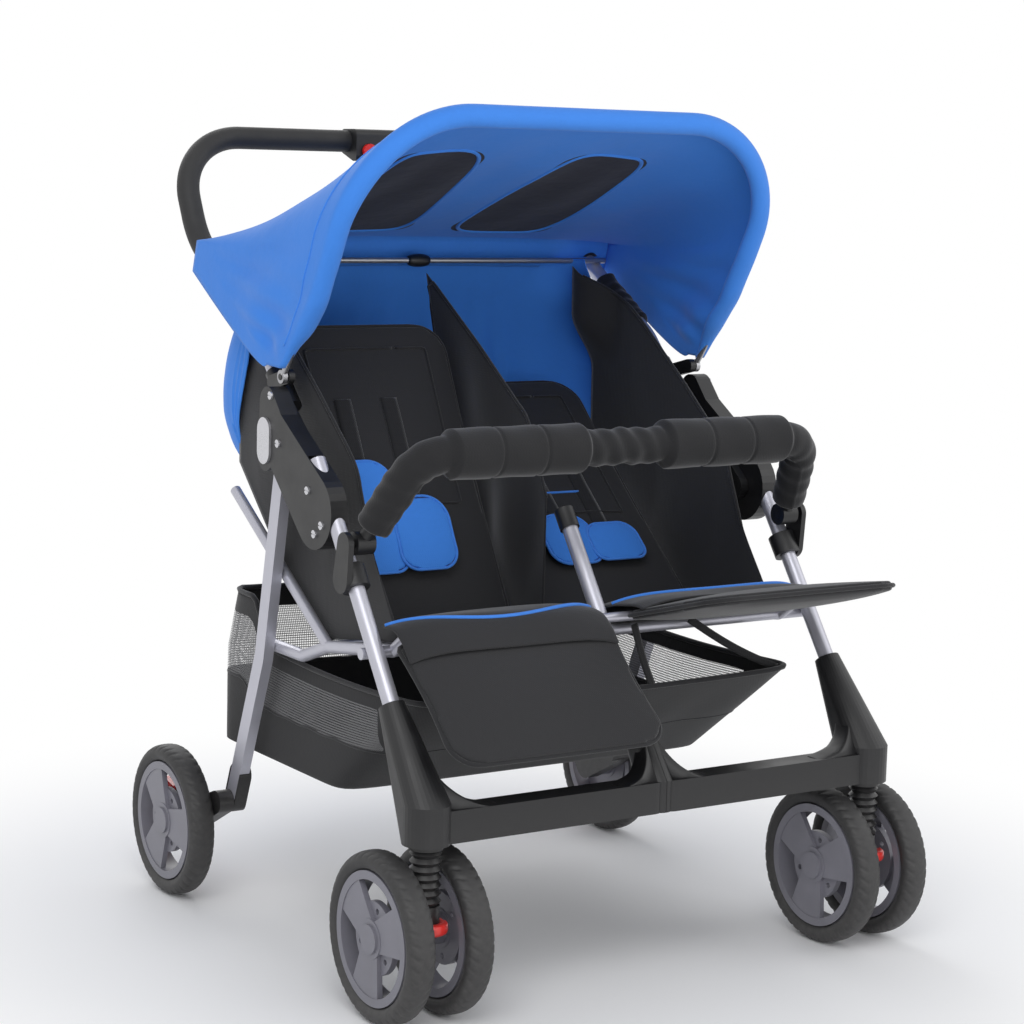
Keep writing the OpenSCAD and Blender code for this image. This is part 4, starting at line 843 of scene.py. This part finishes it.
places = {
    "recline": (-16.0, 382.0), "shin": (-206.0, 428.0), "seatBar": (-173.44, 405.12), "seatX": 146.0, "legX": 161.0,
    "backTilt": {"right": 62.3, "left": 42.0}, "legTilt": {"right": 40.0, "left": -15.0},
    "padDrop": 6.0, "crossR": 7.3,
}


def alongTilt(start, tilt, far, rise):
    # a place far along a tilted piece and rise above its face, in the side view
    c, s = math.cos(math.radians(tilt)), math.sin(math.radians(tilt))
    return (start[0] + c * far - s * rise, start[1] + s * far + c * rise)


def makePads():
    # backs: border piping, an inner arch seam and a blue line above the waist pad
    seatX, legX, drop = places["seatX"], places["legX"], -places["padDrop"]
    p = pads["back"]
    back = sewnPad("backPad", p, blackCloth, lambda co, rim: (np.abs(rim - 34) < 3) & (co[:, 1] > 150))
    seam = outline(p, 34.0, 200)
    seam = seam[seam[:, 1] > 150]
    seam = np.roll(seam, -int(np.argmax(np.linalg.norm(np.diff(seam, axis=0), axis=1)) + 1), 0)
    inner = localTube("inner", liftOnto(back, alongPoints(seam, 140), 0.6), 1.7, blackPiping)
    backEdge = joinPieces("backPiping", [edging(p, -0.5, 6.5, 2.6, blackPiping), inner])
    bar = np.column_stack([np.linspace(-78, 30, 40), np.full(40, 0.47 * p["l"])])
    line = localTube("line", liftOnto(back, bar, 0.7), 1.7, bluePiping)
    softened(back)
    onBack = {}
    for side, s in bothSides:
        body, tilt = "backrest_" + side, places["backTilt"][side]
        onBack[side] = (s * seatX, alongTilt(places["recline"], tilt, 20.0, drop), tilt)
        fit(placePiece(back, "backrestPad_" + side, *onBack[side]), body, body)
        fit(placePiece(backEdge, "backrestPiping_" + side, *onBack[side]), body)
        fit(placePiece(line, "backrestLine_" + side, *onBack[side]), body)
    # leg rests with border piping
    p = pads["leg"]
    leg = sewnPad("legPad", p, blackCloth)
    legEdge = edging(p, -0.5, 5.5, 2.8, blackPiping)
    softened(leg)
    for side, s in bothSides:
        body, tilt = "leg_rest_" + side, places["legTilt"][side]
        place = (s * legX, alongTilt(places["shin"], tilt, -14.0, drop), tilt, 180.0)
        fit(placePiece(leg, "legRestPad_" + side, *place), body, body)
        fit(placePiece(legEdge, "legRestPiping_" + side, *place), body)
    # seats, each with a strap and its slider
    run = np.array(places["recline"]) - np.array(places["seatBar"])
    tilt = math.degrees(math.atan2(run[1], run[0]))
    p = pads["seat"]
    seat = sewnPad("seatPad", p, blackCloth)
    seatEdge = edging(p, -0.5, 6.0, 2.4, blackPiping)
    lane = np.column_stack([np.full(60, 72.0), np.linspace(14, 150, 60)])
    seatStrap = ribbon("strap", liftOnto(seat, lane, 1.2), 22.0, webbing)
    slider = seatBuckle(liftOnto(seat, lane, 3.0)[18])
    softened(seat)
    for side, s in bothSides:
        place = (s * seatX, alongTilt(places["seatBar"], tilt, -22.0, places["crossR"]), tilt)
        fit(placePiece(seat, "seatPad_" + side, *place), "chassis", "seat_pad_" + side)
        fit(placePiece(seatEdge, "seatPiping_" + side, *place), "chassis")
        strap = fit(placePiece(seatStrap, "seatStrap_" + side, *place), "chassis")
        fit(placePiece(slider, "strapSlider_" + side, *place), "chassis")
    # chest pads: two overlapping lobes on each back, with stitched borders and straps above
    made = [back, backEdge, line, leg, legEdge, seat, seatEdge, seatStrap, slider]
    for side, s in bothSides:
        body = "backrest_" + side
        for k, (shift, low, lift, wide, tall) in enumerate(chest[side]):
            q = dict(pads["chest"], w=wide, l=tall, near=min(wide, tall) * 0.3, far=min(wide, tall) * 0.42)
            lobe = sewnPad("lobe", q, blueCloth, lambda co, rim: (np.abs(rim - 9) < 2.6) & (co[:, 2] > 3))
            edge = edging(q, 0.0, 4.0, 1.9, bluePiping)
            softened(lobe)
            for part in (lobe, edge):
                part.data.transform(Matrix.Translation((shift / 1000, low / 1000, lift / 1000)))
            tail = side + str(k)
            fit(placePiece(lobe, "chestPad_" + tail, *onBack[side]), body,
                None if k else "harness_" + side)
            fit(placePiece(edge, "chestPiping_" + tail, *onBack[side]), body)
            lane = np.column_stack([np.full(50, shift), np.linspace(low + tall - 14, strapTop, 50)])
            ready = ribbon("strap", liftOnto(back, lane, 1.4), 24.0, webbing)
            strap = fit(placePiece(ready, "shoulderStrap_" + tail, *onBack[side]), body)
            made += [lobe, edge, ready]
    for part in made:
        bpy.data.objects.remove(part)
    print("pads made")


makePads()

# cloth walls beside and between the seats, each a sheet between two edges with shallow pulls

wings = {
    "sideX": 278.2, "sideTop": ((-101, 511), (-58, 612), (40, 692), (141, 768), (222, 814), (257, 834)),
    "sideLow": ((-173, 414), (-16, 391), (20, 381), (142, 476), (252, 580)),
    "midTop": ((-55, 557), (-9, 652), (110, 735), (252, 825)), "midLow": ((-55, 391), (-9, 378), (60, 420), (157, 515)),
    "pull": 2.4, "midPull": 4.5, "lean": 36.0, "wall": 1.3, "sideFlat": (0.50, 0.31), "midFlat": (0.45, 0.28),
}


def wallGrid(x, top, low, pull, lean):
    # straight between the edges, pushed sideways by folds that fan from the lower front corner
    u, v = np.linspace(0, 1, 60)[:, None], np.linspace(0, 1, 36)[None, :]
    yz = mixed(alongPoints(top, 60)[:, None], alongPoints(low, 60)[:, None], v[..., None])
    fan = np.sin(7.5 * u + 4.2 * v * u + lean) + 0.5 * np.sin(17 * u - 6 * v + 2 * lean)
    side = pull * fan * np.sin(np.pi * v) ** 0.7 * np.sin(np.pi * u) ** 0.6
    return np.concatenate([(x + side)[..., None], yz], -1)


def makeWall(name, tail, pts, edgeLine, node, flip=False):
    wall = thicken(gridPiece(name + tail, pts, blackCloth, flip=flip), wings["wall"], 0.0)
    fit(wall, "chassis", node)
    fit(tubePiece(name + "Edge" + tail, edgeLine, 2.0, blackPiping, sides=8), "chassis")


def makeWings():
    for side, s in bothSides:
        pts = wallGrid(0.0, wings["sideTop"], wings["sideLow"], wings["pull"], 0.4 * s)
        lean = wings["lean"] * smoothStep(690, 770, pts[..., 2]) * smoothStep(185, 245, pts[..., 1])
        pts[..., 0] = s * (wings["sideX"] - lean + np.clip(pts[..., 0], -3.2, 0.8))
        makeWall("sideWall", "_" + side, pts, smoothPath(pts[::4, 0], 90), "side_wing_" + side,
                 s < 0)
    pts = wallGrid(0.0, wings["midTop"], wings["midLow"], wings["midPull"], 1.1)
    edgeLine = np.concatenate([smoothPath(pts[::4, 0], 90), pts[-1, 2::3]])
    makeWall("middleWall", "", pts, edgeLine, "center_wing")
    print("walls made")


makeWings()


# basket: a lofted cloth shell that hangs from its rim and sags between its corners

basket = {
    "half": 279.0, "frontSlope": ((346, -231), (280, -140), (207, -36)), "rearSlope": ((408, 287), (330, 311), (207, 311)),
    "rimLow": 346.0, "rimHigh": 407.0, "riseFrom": 150.0, "riseTo": 215.0, "floor": 207.0, "cornerR": 26.0,
    "rimSag": 7.0, "wallBulge": 4.0, "floorSag": 9.0, "wall": 2.0, "netFrom": 0.14, "netTo": 0.55,
}


def basketFinish():
    # black cloth with a see-through net band: the net is a grid of threads on the UV map
    mat, tree, shader = startMaterial("basketCloth", {"Roughness": 0.85, "Sheen Weight": 0.15, "Specular IOR Level": 0.3})
    uv = coordsOf(tree, "UV")
    weave = useGroup(tree, weaveGroup, uv, Threads=480.0)
    cloth = shadedColor(tree, shader, (0.0105, 0.0105, 0.0115), weave["Shade"], 0.7, 1.3)
    isNet = pointTest(tree, "netBand", "GREATER_THAN", 0.5)
    tree.links.new(mixColor(tree, isNet, cloth, (0.22, 0.22, 0.225, 1)), shader.inputs["Base Color"])
    split = addNode(tree, "SeparateXYZ", {0: uv}).outputs
    gap = isNet
    for axis in ("X", "Y"):
        phase = mathNode(tree, "FRACT", mathNode(tree, "MULTIPLY", split[axis], 300.0))
        fromMiddle = mathNode(tree, "ABSOLUTE", mathNode(tree, "SUBTRACT", phase, 0.5))
        gap = mathNode(tree, "MULTIPLY", gap, mathNode(tree, "LESS_THAN", fromMiddle, 0.4))
    tree.links.new(mathNode(tree, "SUBTRACT", 1.0, gap), shader.inputs["Alpha"])
    bumped(tree, shader, weave["Height"], 0.5, 0.0004)
    return mat


def makeBasket():
    # rings from the rim down: at each height the plan is a rounded box between the front and rear slopes
    b = basket
    loop = aroundCircle(180)
    drop = np.r_[np.linspace(0, 1, 40), np.ones(14)][:, None]
    shrink = np.r_[np.zeros(40), np.linspace(0, 0.96, 15)[1:]][:, None]
    cosA, sinA = np.cos(loop), np.sin(loop)
    k = 15.0                                                  # squareness of the plan
    reach = (np.abs(cosA) ** k + np.abs(sinA) ** k) ** (-1 / k)
    ux, uy = reach * cosA, reach * sinA                       # plan on a unit box, uy -1 at the front
    fz, fy = np.array(b["frontSlope"]).T
    rz, ry = np.array(b["rearSlope"]).T
    rimY = mixed(fy[0], ry[0], (uy + 1) / 2)
    rim = mixed(b["rimLow"], b["rimHigh"], smoothStep(b["riseFrom"], b["riseTo"], rimY))
    side = np.abs(ux) ** 6
    sideSag = np.sin(np.pi * np.clip((rimY + 231) / 381, 0, 1)) * side
    rim = rim - b["rimSag"] * (sideSag + (1 - np.abs(ux) ** 2) * (np.abs(uy) > 0.97))
    z = mixed(rim[None, :], b["floor"], drop)
    front = np.interp(z, fz[::-1], fy[::-1])
    rear = np.interp(z, rz[::-1], ry[::-1])
    swell = np.sin(np.pi * drop) * b["wallBulge"] * (1 + 0.4 * np.sin(9 * loop)[None, :])
    x = ux * (b["half"] - 3 + swell * 0.3)
    y = mixed(front, rear, (uy[None, :] + 1) / 2) + swell * uy[None, :] * 0.6
    midY = (np.interp(b["floor"], fz[::-1], fy[::-1]) + 311) / 2
    x, y = mixed(x, 0.0, shrink), mixed(y, midY, shrink)
    z = z - b["floorSag"] * np.sin(np.pi / 2 * shrink) - 3.0 * drop ** 3 * (1 - shrink)
    z = z + 1.4 * np.sin(loop * 23)[None, :] * np.sin(np.pi * drop) ** 2 * 0.5
    pts = np.stack([x, y, z], -1)
    uv = np.stack([np.broadcast_to(lengthsAlong(pts[0])[None, :], z.shape), rim[None, :] - z], -1) / 1000.0
    sideWall = np.clip((np.abs(ux) - 0.93) / 0.04, 0, 1) + np.clip((uy - 0.93) / 0.04, 0, 1)
    within = np.minimum((drop - b["netFrom"]) / 0.1, (b["netTo"] - drop) / 0.1) + 0 * z
    net = np.clip(0.5 + np.minimum(np.minimum(within, sideWall[None, :] - 0.5), (y + 120) / 60), 0, 1)
    shell = gridPiece("basketShell", pts, basketFinish(), closeV=True, uv=uv, masks={"netBand": net}, capEnd=True)
    thicken(shell, b["wall"], 0.0)
    rim = tubePiece("basketRim", pts[0] + [0, 0, 1.0], 3.4, blackPiping, sides=10, closed=True)
    seam = tubePiece("basketSeam", pts[int(40 * b["netTo"])], 1.8, blackPiping, sides=8, closed=True)
    fit(shell, "chassis", "basket")
    for piece in (rim, seam):
        fit(piece, "chassis")


makeBasket()


# bumper cover: a padded tube along the bar, with two thicker wraps and a loose middle

bumperCover = {
    "pivot": (316.0, -142.494, 530.328), "corner": (282.0, -215.0, 640.0), "bendR": 45.0, "start": 0.16, "foamR": 21.5,
    "wrapR": 29.6, "wrapFrom": 60.0, "wrapTo": 245.0, "seams": (122.0, 184.0), "fill": 0.75,
}


def makeBumperCover():
    # radius along the bar: foam, wraps with rounded ends, sewn seams; plus folds that turn round the bar
    c = bumperCover
    flipX = np.array([-1, 1, 1])
    pivot, corner = np.array(c["pivot"]), np.array(c["corner"])
    start = mixed(pivot, corner, c["start"])
    path = bentPath([start * flipX, corner * flipX, corner, start], [c["bendR"]] * 2, 2.0)
    ax, along = np.abs(path[:, 0]), np.arange(len(path)) * 2.0
    top = smoothStep(628, 638, path[:, 2])
    wrapEnd = 1 - smoothStep(c["wrapTo"] - 4, c["wrapTo"] + 5, ax)
    wrap = smoothStep(c["wrapFrom"] - 5, c["wrapFrom"] + 4, ax) * wrapEnd * top
    r = mixed(c["foamR"], c["wrapR"], wrap)
    for seam in c["seams"]:
        r = r - 1.5 * ridge(ax, seam, 1.7) * top
    ends = np.minimum(along, along[-1] - along)
    r = r * roundedEnd(ends, 9, 0.2)
    sides = 48
    ang = aroundCircle(sides)[None, :]
    loose = np.clip(1 - ax / 58, 0, 1)[:, None] ** 0.3 * (ax < 58)[:, None]
    bend = np.clip(1 - np.abs(ax - 290) / 40, 0, 1)[:, None]
    folds = loose * (1.5 * np.sin(path[:, :1] / 4.2 + 2.2 * np.sin(ang)) + 0.9 * np.sin(path[:, :1] / 9 - 3 * ang))
    folds = folds + bend * 1.0 * np.sin(along[:, None] / 3.6 + 1.5 * np.sin(ang))
    folds = folds + 0.5 * np.sin(along[:, None] / 11 + 2 * ang) * (1 - loose)
    lip = 1.6 * ridge(ang, 1.5 * np.pi, 0.09)
    skin = tubePoints(path, r[:, None] + folds * 0.8 + lip, sides, (0, 0, 1))
    fit(skinPiece("bumperCover", skin, blackTwill), "bumper", "bumper_foam")
    print("bumper cover made")


makeBumperCover()


# sleeves round the handle tubes: gathered cloth, wider at the hem

sleeves = {"x": 297.0, "low": (173.4, 758.9), "high": (255.3, 811.0), "r": 15.6, "hem": 1.6, "fill": 0.2}


def makeSleeves():
    parts = []
    for s in (-1, 1):
        path = alongPoints(sideView(s * sleeves["x"], (sleeves["low"], sleeves["high"])), 70)
        t, ang = np.linspace(0, 1, 70)[:, None], aroundCircle(40)[None, :]
        r = sleeves["r"] + 0.9 * np.sin(30 * t + 2 * np.sin(ang + s)) * np.sin(np.pi * t) + 0.5 * np.sin(5 * ang + 6 * t)
        r = r + sleeves["hem"] * (ridge(t, 0, 0.05) + ridge(t, 1, 0.05))
        r = r * np.clip(np.minimum(t, 1 - t) / 0.012, 0.76, 1)
        parts.append(skinPiece("sleeve", tubePoints(path, r, 40, (1, 0, 0)), blackTwill))
    fit(joinPieces("tubeSleeves", parts), "handle_frame", "tube_sleeves")
    print("sleeves made")


makeSleeves()


# tyres: a rounded section swept round the axle, with slanted grooves on both shoulders

tyres = {"middle": 88.2, "tall": 11.6, "grooves": 44, "depth": 1.5, "bead": 0.6}


def tyrePoints(x, y, z, half):
    # section r = middle + tall sgn(sin) |sin|^0.75, x = half sgn(cos) |cos|^0.75
    # the grooves lean with the angle round the wheel
    turn, phi = aroundCircle(352)[:, None], aroundCircle(40)[None, :]
    c, s = np.cos(phi), np.sin(phi)
    across = half * signedPower(c, 0.75)
    r = tyres["middle"] + tyres["tall"] * signedPower(s, 0.75)
    shoulder = smoothStep(0.15, 0.5, s) * smoothStep(0.18, 0.5, np.abs(c))
    wave = np.sin(tyres["grooves"] * turn + 5.0 * np.abs(c))
    cut = tyres["depth"] * shoulder * smoothStep(0.45, 0.8, wave)
    rib = 0.8 * ridge(s, 0.02, 0.1) * (np.abs(c) > 0.5)
    rr = r - cut * np.clip(s, 0, 1)
    xx = across * (1 - cut * 0.35 / half * np.abs(c)) + np.sign(c) * (rib - tyres["bead"])
    return np.stack([x + xx + 0 * turn, y + rr * np.cos(turn), z + rr * np.sin(turn)], -1)


def makeTyres():
    for name, node in nodes.items():
        if "tyre" not in name:
            continue
        lo, hi = (np.array(c) * 1000 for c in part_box(name))
        side = name.rsplit("_", 1)[1]
        x, y, z = (lo + hi) / 2 + [0, shiftY, 0]
        if name.startswith("front"):
            # a pair: each half reaches from the outside to the gap in the middle
            wide = (hi[0] - lo[0]) / 2 - np.abs(meshCo(node.data)[:, 0] * 1000 - x).min()
            body, mids = "front_wheels_" + side, (lo[0] + wide / 2, hi[0] - wide / 2)
        else:
            body, wide, mids = "rear_wheel_" + side, hi[0] - lo[0], (x,)
        parts = [gridPiece("tyre", tyrePoints(m, y, z, wide / 2), tyreRubber, closeU=True, closeV=True) for m in mids]
        piece = joinPieces(name.replace("_t", "T").replace("_r", "R").replace("_l", "L"), parts)
        fit(piece, body, name)
    print("tyres made")


makeTyres()

# seat fronts: padded cloth from each seat over the hinge on to the leg rest, with a blue line

seatFronts = {
    "profile": {"right": ((-112, 427), (-150, 440), (-184, 447), (-208, 445), (-229, 432), (-246, 414)),
                "left": ((-112, 427), (-150, 440), (-184, 449), (-208, 453), (-230, 456), (-252, 455))},
    "half": (126.0, 147.0), "x": (146.0, 161.0), "widen": (135.0, 185.0), "edgeDrop": 10.0, "wall": 3.0,
    "lineEnds": -182.0, "lineDip": 32.0,
}


def makeSeatFronts():
    # the side-view profile carried across the seat, wider toward the front and lower at both edges
    c = seatFronts
    for side, s in bothSides:
        line = smoothPath(c["profile"][side], 46)
        v = np.linspace(-1, 1, 41)
        spread = smoothStep(*c["widen"], -line[:, :1])
        pts = np.zeros((46, 41, 3))
        pts[..., 0] = s * mixed(*c["x"], spread) + mixed(*c["half"], spread) * v
        pts[..., 1] = line[:, :1]
        pts[..., 2] = line[:, 1:] - c["edgeDrop"] * np.abs(v) ** 5 + 0.8 * np.sin(line[:, :1] / 9 + 3 * v) * (1 - v ** 2)
        piece = rounded(thicken(gridPiece("seatFront_" + side, pts, blackCloth), c["wall"]))
        y = c["lineEnds"] - c["lineDip"] * (1 - v ** 2)
        order = np.argsort(line[:, 0])
        z = np.interp(y, line[order, 0], line[order, 1]) - c["edgeDrop"] * np.abs(v) ** 5 + 1.2
        arcLine = np.stack([s * c["x"][1] + 0.985 * c["half"][1] * v, y, z], 1)
        arc = tubePiece("seatLine_" + side, arcLine, 2.3, bluePiping, sides=10)
        for part in (piece, arc):
            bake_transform(part)
    print("seat fronts made")


makeSeatFronts()


# red tongues on the swivel locks, and rounded inner corners on the footrest moulding

corners = {
    "king": (323.0, -313.0), "tongueR": (21.4, 35.0), "tongueEnd": 25.0, "tongueSweep": 94.0, "tongueZ": 116.0,
    "tongueH": (8.5, 6.0), "tongueLift": 3.0, "barTop": 250.0, "barHalf": 16.8, "blockTop": 258.0, "armLean": 0.849,
    "round": 3.0, "arm": (233.0, 309.0, 312.0, 13.0), "middle": (66.0, 11.0, 302.0, 12.0), "keel": 244.0, "keelRise": 5.0,
}


def tonguePoints(s):
    # a rounded section swept round the king pin, longest in front: radius and height follow a superellipse
    c = corners
    a = np.linspace(-1, 1, 33)[:, None]
    phi = aroundCircle(28)[None, :]
    low, high = c["tongueR"][0], c["tongueR"][1] - (c["tongueR"][1] - c["tongueEnd"]) * a ** 2
    share = 0.5 + 0.5 * signedPower(np.cos(phi), 0.6)
    r = low + (high - low) * share
    ang = np.radians(270 + c["tongueSweep"] / 2 * a)
    tall = mixed(*c["tongueH"], share)
    z = c["tongueZ"] + c["tongueLift"] * share + tall * signedPower(np.sin(phi), 0.6) + 0 * a
    return np.stack([s * c["king"][0] + r * np.cos(ang), c["king"][1] + r * np.sin(ang), z], -1)


def cornerPoints(fromX, toX, topZ, topHalf):
    # a quarter ellipse from the bar's top to the arm, across its depth, and back to a line inside the moulding
    c = corners
    t = np.linspace(0, np.pi / 2, 25)[:, None]
    phi = np.linspace(-np.pi / 2, np.pi / 2, 15)[None, :]
    x, z = fromX + (toX - fromX) * np.sin(t), topZ - (topZ - c["barTop"]) * np.cos(t)
    inset = c["round"] * (1 - np.cos(phi) ** 0.5)
    half = mixed(c["barHalf"], topHalf, np.sin(t))
    y = c["king"][1] + c["armLean"] * np.maximum(z - c["blockTop"], 0) + half * signedPower(np.sin(phi), 0.6)
    pts = np.stack([x + np.sign(toX - fromX) * inset * np.sin(t), y, z - inset * np.cos(t)], -1)
    keelZ = c["keel"] + c["keelRise"] * np.sin(t)
    keel = [np.stack([mixed(x, toX, 0.8), c["king"][1] + e * (topHalf + 2) + 0 * x, keelZ], -1) for e in (-1, 1)]
    return np.concatenate([keel[0], pts, keel[1]], 1)


def makeCorners():
    for side, s in bothSides:
        fit(skinPiece("lockTongue_" + side, tonguePoints(s), redMould), "lock_" + side)
        webs = [skinPiece("web", cornerPoints(*corners[key]) * [s, 1, 1], blackMould) for key in ("arm", "middle")]
        fit(joinPieces("footrestCorner_" + side, webs), "chassis")
    print("corners and lock tongues made")


makeCorners()


# small trim: a knob on the rod, rolled window flaps on the roof, straps to the basket's front lip

trim = {"rod": (274.4, 841.2), "knobR": 9.0, "knobHalf": 17.0, "flapShare": 0.27, "flapR": 8.5, "strapW": 10.0}


def makeTrim():
    t = np.linspace(-1, 1, 25)
    path = np.stack([trim["knobHalf"] * t, np.full(25, trim["rod"][0]), np.full(25, trim["rod"][1])], 1)
    knob = tubePiece("rodKnob", path, 4.3 + (trim["knobR"] - 4.3) * np.sqrt(1 - t ** 2), blackMould, sides=24)
    fit(knob, "handle_frame")
    roof = hoodSurface(np.array([trim["flapShare"]]))[:, 0]
    for side, s in bothSides:
        lane = (s * roof[:, 0] > 36) & (s * roof[:, 0] < 176)
        line = smoothPath(roof[lane], 60) + [0, 0, trim["flapR"] + 0.6]
        ang, k = aroundCircle(32)[None, :], np.linspace(0, 1, 60)[:, None]
        r = trim["flapR"] + 0.9 * np.sin(4 * ang + 14 * k) * 0.6 + 0.8 * np.sin(40 * k + ang) * 0.5
        r = r - 2.2 * ridge(k, 0.3, 0.025) - 2.2 * ridge(k, 0.7, 0.025)
        r = r * roundedEnd(np.minimum(k, 1 - k), 0.05, 0.12)
        flap = skinPiece("windowFlap_" + side, tubePoints(line, r, 32, (0, 0, 1)), blueCloth)
        fitToHood(flap)
        for k, (a, b) in enumerate((((118, -206, 417), (255, -214, 345)), ((34, -206, 417), (52, -222, 343)))):
            lane = alongPoints([np.array(a) * [s, 1, 1], np.array(b) * [s, 1, 1]], 24)
            lane[:, 2] -= 5 * np.sin(np.pi * np.linspace(0, 1, 24))
            flatWay = 0.98 * unit(np.cross(lane[-1] - lane[0], (0.0, 1.0, 0.0)))
            across = np.linspace(-0.5, 0.5, 4)[None, :, None] * flatWay * trim["strapW"]
            strap = gridPiece("basketStrap_" + side + str(k), lane[:, None] + across, webbing)
            fit(thicken(strap, 1.5, 0.0), "chassis")
    print("trim made")


makeTrim()
